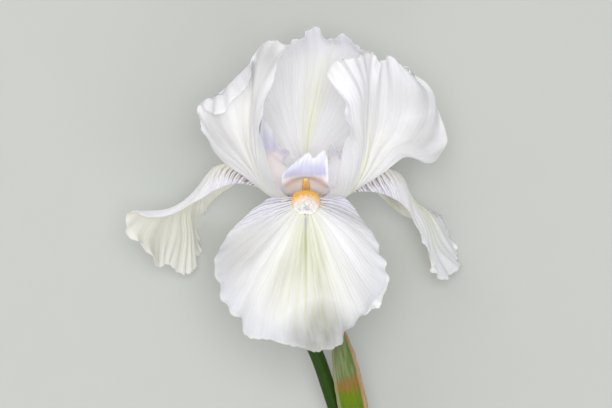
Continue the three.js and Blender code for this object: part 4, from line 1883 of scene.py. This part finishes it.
# Among the changes, clouds and grey tones are painted shade, and the margin's share is lavender tint with
# painted shade.
# Node, place, net, ruffles, and what differs from the finish of its kind.
STANDARDS = (
    (
        "standard_back", Whorl.STANDARD_BACK, STANDARD_BACK_NET,
        Ruffle(9, 1.2, 0.35, 0.9, 11, scallops=8.5),
        {},
    ),
    (
        "standard_left", Whorl.STANDARD_LEFT, STANDARD_LEFT_NET,
        Ruffle(8, 0.6, 0.8, 0.75, 112, scallop=0.008),
        {"rib_share": 0.2, "margin_tint_and_shade_share": 0.3,
         "shade_clouds": (ShadeCloud(-0.5, 0.58, 0.4, 0.26, 0.7), ShadeCloud(0.35, 0.92, 0.5, 0.22, 0.85))},
    ),
    (
        "standard_right", Whorl.STANDARD_RIGHT, STANDARD_RIGHT_NET,
        Ruffle(9, 1.1, 0.5, 1.0, 213, scallop=0.006),
        {"shade_clouds": (ShadeCloud(0.42, 0.87, 0.4, 0.2, 0.6), ShadeCloud(0.62, 0.69, 0.45, 0.28, 0.95))},
    ),
)
FALLS = (
    (
        "fall_front", Whorl.FALL_FRONT, FALL_FRONT_NET,
        Ruffle(9, 1.4, 0.2, 0.85, 321, scallops=10, scallop=0.005),
        {"shade_under": 0.35, "painted_shade_tone": srgb(170, 171, 160), "keel": 0.3, "glow": 0.7,
         "shade_clouds": (ShadeCloud(0.12, 0.93, 0.5, 0.3, 1.3), ShadeCloud(0.0, 0.66, 0.8, 0.3, 0.85),
                    ShadeCloud(-0.9, 0.64, 0.6, 0.32, 0.7), ShadeCloud(1.25, 0.44, 0.3, 0.16, 0.5))},
    ),
    (
        "fall_left", Whorl.FALL_LEFT, FALL_LEFT_NET,
        Ruffle(8, 0.8, 0.6, 0.65, 422, scallop=0.006),
        {},
    ),
    (
        "fall_right", Whorl.FALL_RIGHT, FALL_RIGHT_NET,
        Ruffle(8, 0.8, 0.1, 0.5, 523, scallop=0.006),
        {"shade_clouds": (ShadeCloud(1.4, 0.4, 0.5, 0.25, 0.9), ShadeCloud(-1.3, 0.48, 0.5, 0.2, 0.35))},
    ),
)
# Side, fall, how far the beard reaches along it, the style arm's net and seed, and its finish.
THROAT_SIDES = (
    ("front", Whorl.FALL_FRONT, 0.455, ARM_FRONT_NET, 31, ArmFinish("arm_front")),
    ("left", Whorl.FALL_LEFT, 0.315, ARM_LEFT_NET, 32, ArmFinish(
        "arm_left", crest=srgb(232, 231, 255), vein=srgb(214, 212, 244), turn=0.7, blur=0.14, dip=0.0)),
    ("right", Whorl.FALL_RIGHT, 0.33, ARM_RIGHT_NET, 33, ArmFinish(
        "arm_right", crest=srgb(248, 247, 255), vein=srgb(226, 225, 248), arm=srgb(253, 251, 255), turn=0.5)),
)


@dataclass
class BeardedIris:
    """The whole cut flower."""

    standard_finish: PetalFinish = PetalFinish(
        "standard_petal",
        under=srgb(248, 246, 250),
        keel=0.25,
        glow=0.5,
        under_centre=srgb(234, 233, 206),
        midrib=srgb(198, 202, 122),
        centre_angle=0.35,
        centre_end=0.9,
        rib_end=0.8,
        rib_share=0.6,
        rib_width=0.04,
    )
    fall_finish: PetalFinish = PetalFinish("fall_petal", haft_veins=1.0, haft_turn=0.5, glow=0.65)
    side_fall_finish: PetalFinish = PetalFinish(
        "side_fall_petal",
        haft_veins=0.9,
        haft_end=0.36,
        haft_turn=0.5,
        under=srgb(226, 223, 190),
        crest=srgb(246, 243, 200),
        crest_width=0.85,
    )
    standard_fan: Fan = Fan(0.12, 0.22)
    fall_fan: Fan = Fan(0.34)

    def petals(self) -> dict[Whorl, Petal]:
        """Makes the six petals, each with its own changes to its kind's finish.

        Returns:
            The petals by their place.
        """
        made = {}
        kinds = (
            ("standard", self.standard_finish, self.standard_fan, STANDARDS),
            ("fall", self.fall_finish, self.fall_fan, FALLS[:1]),
            ("fall", self.side_fall_finish, self.fall_fan, FALLS[1:]),
        )
        for slot, finish, fan, group in kinds:
            for node, whorl, net, ruffle, change in group:
                look = replace(finish, name=f"{node}_skin", **change)
                made[whorl] = Petal(f"iris_{node}", node, slot, whorl, net, ruffle, fan, look)
        return made

    def throat(self, petals: dict[Whorl, Petal]) -> list[Piece]:
        """Makes the beard, the style arm and the stamen over each fall.

        Args:
            petals: The petals by their place.

        Returns:
            The nine pieces.
        """
        made = []
        for side, whorl, reach, net, seed, finish in THROAT_SIDES:
            made += [
                Beard(f"iris_beard_{side}", f"beard_{side}", petals[whorl], reach, seed),
                StyleArm(f"iris_style_arm_{side}", f"style_arm_{side}", whorl, net, seed, finish),
                Stamen(f"iris_stamen_{side}", f"stamen_{side}", whorl),
            ]
        return made

    def build(self) -> None:
        """Builds the petals, then what stands in the throat, then what is below the bloom."""
        petals = self.petals()
        below = [
            FloralTube(),
            Stem(),
            Bud(),
            Spathe("iris_spathe_front", "spathe_front", 0.0, 1.0, 41),
            Spathe("iris_spathe_back", "spathe_back", math.pi, 0.97, 42),
        ]
        for piece in [*petals.values(), *self.throat(petals), *below]:
            piece.build()


def main() -> None:
    """Builds the studio and the flower, and reports each piece."""
    logging.basicConfig(level=logging.INFO, format="%(name)s: %(message)s")
    Studio().build()
    BeardedIris().build()


if __name__ == "__main__":
    main()
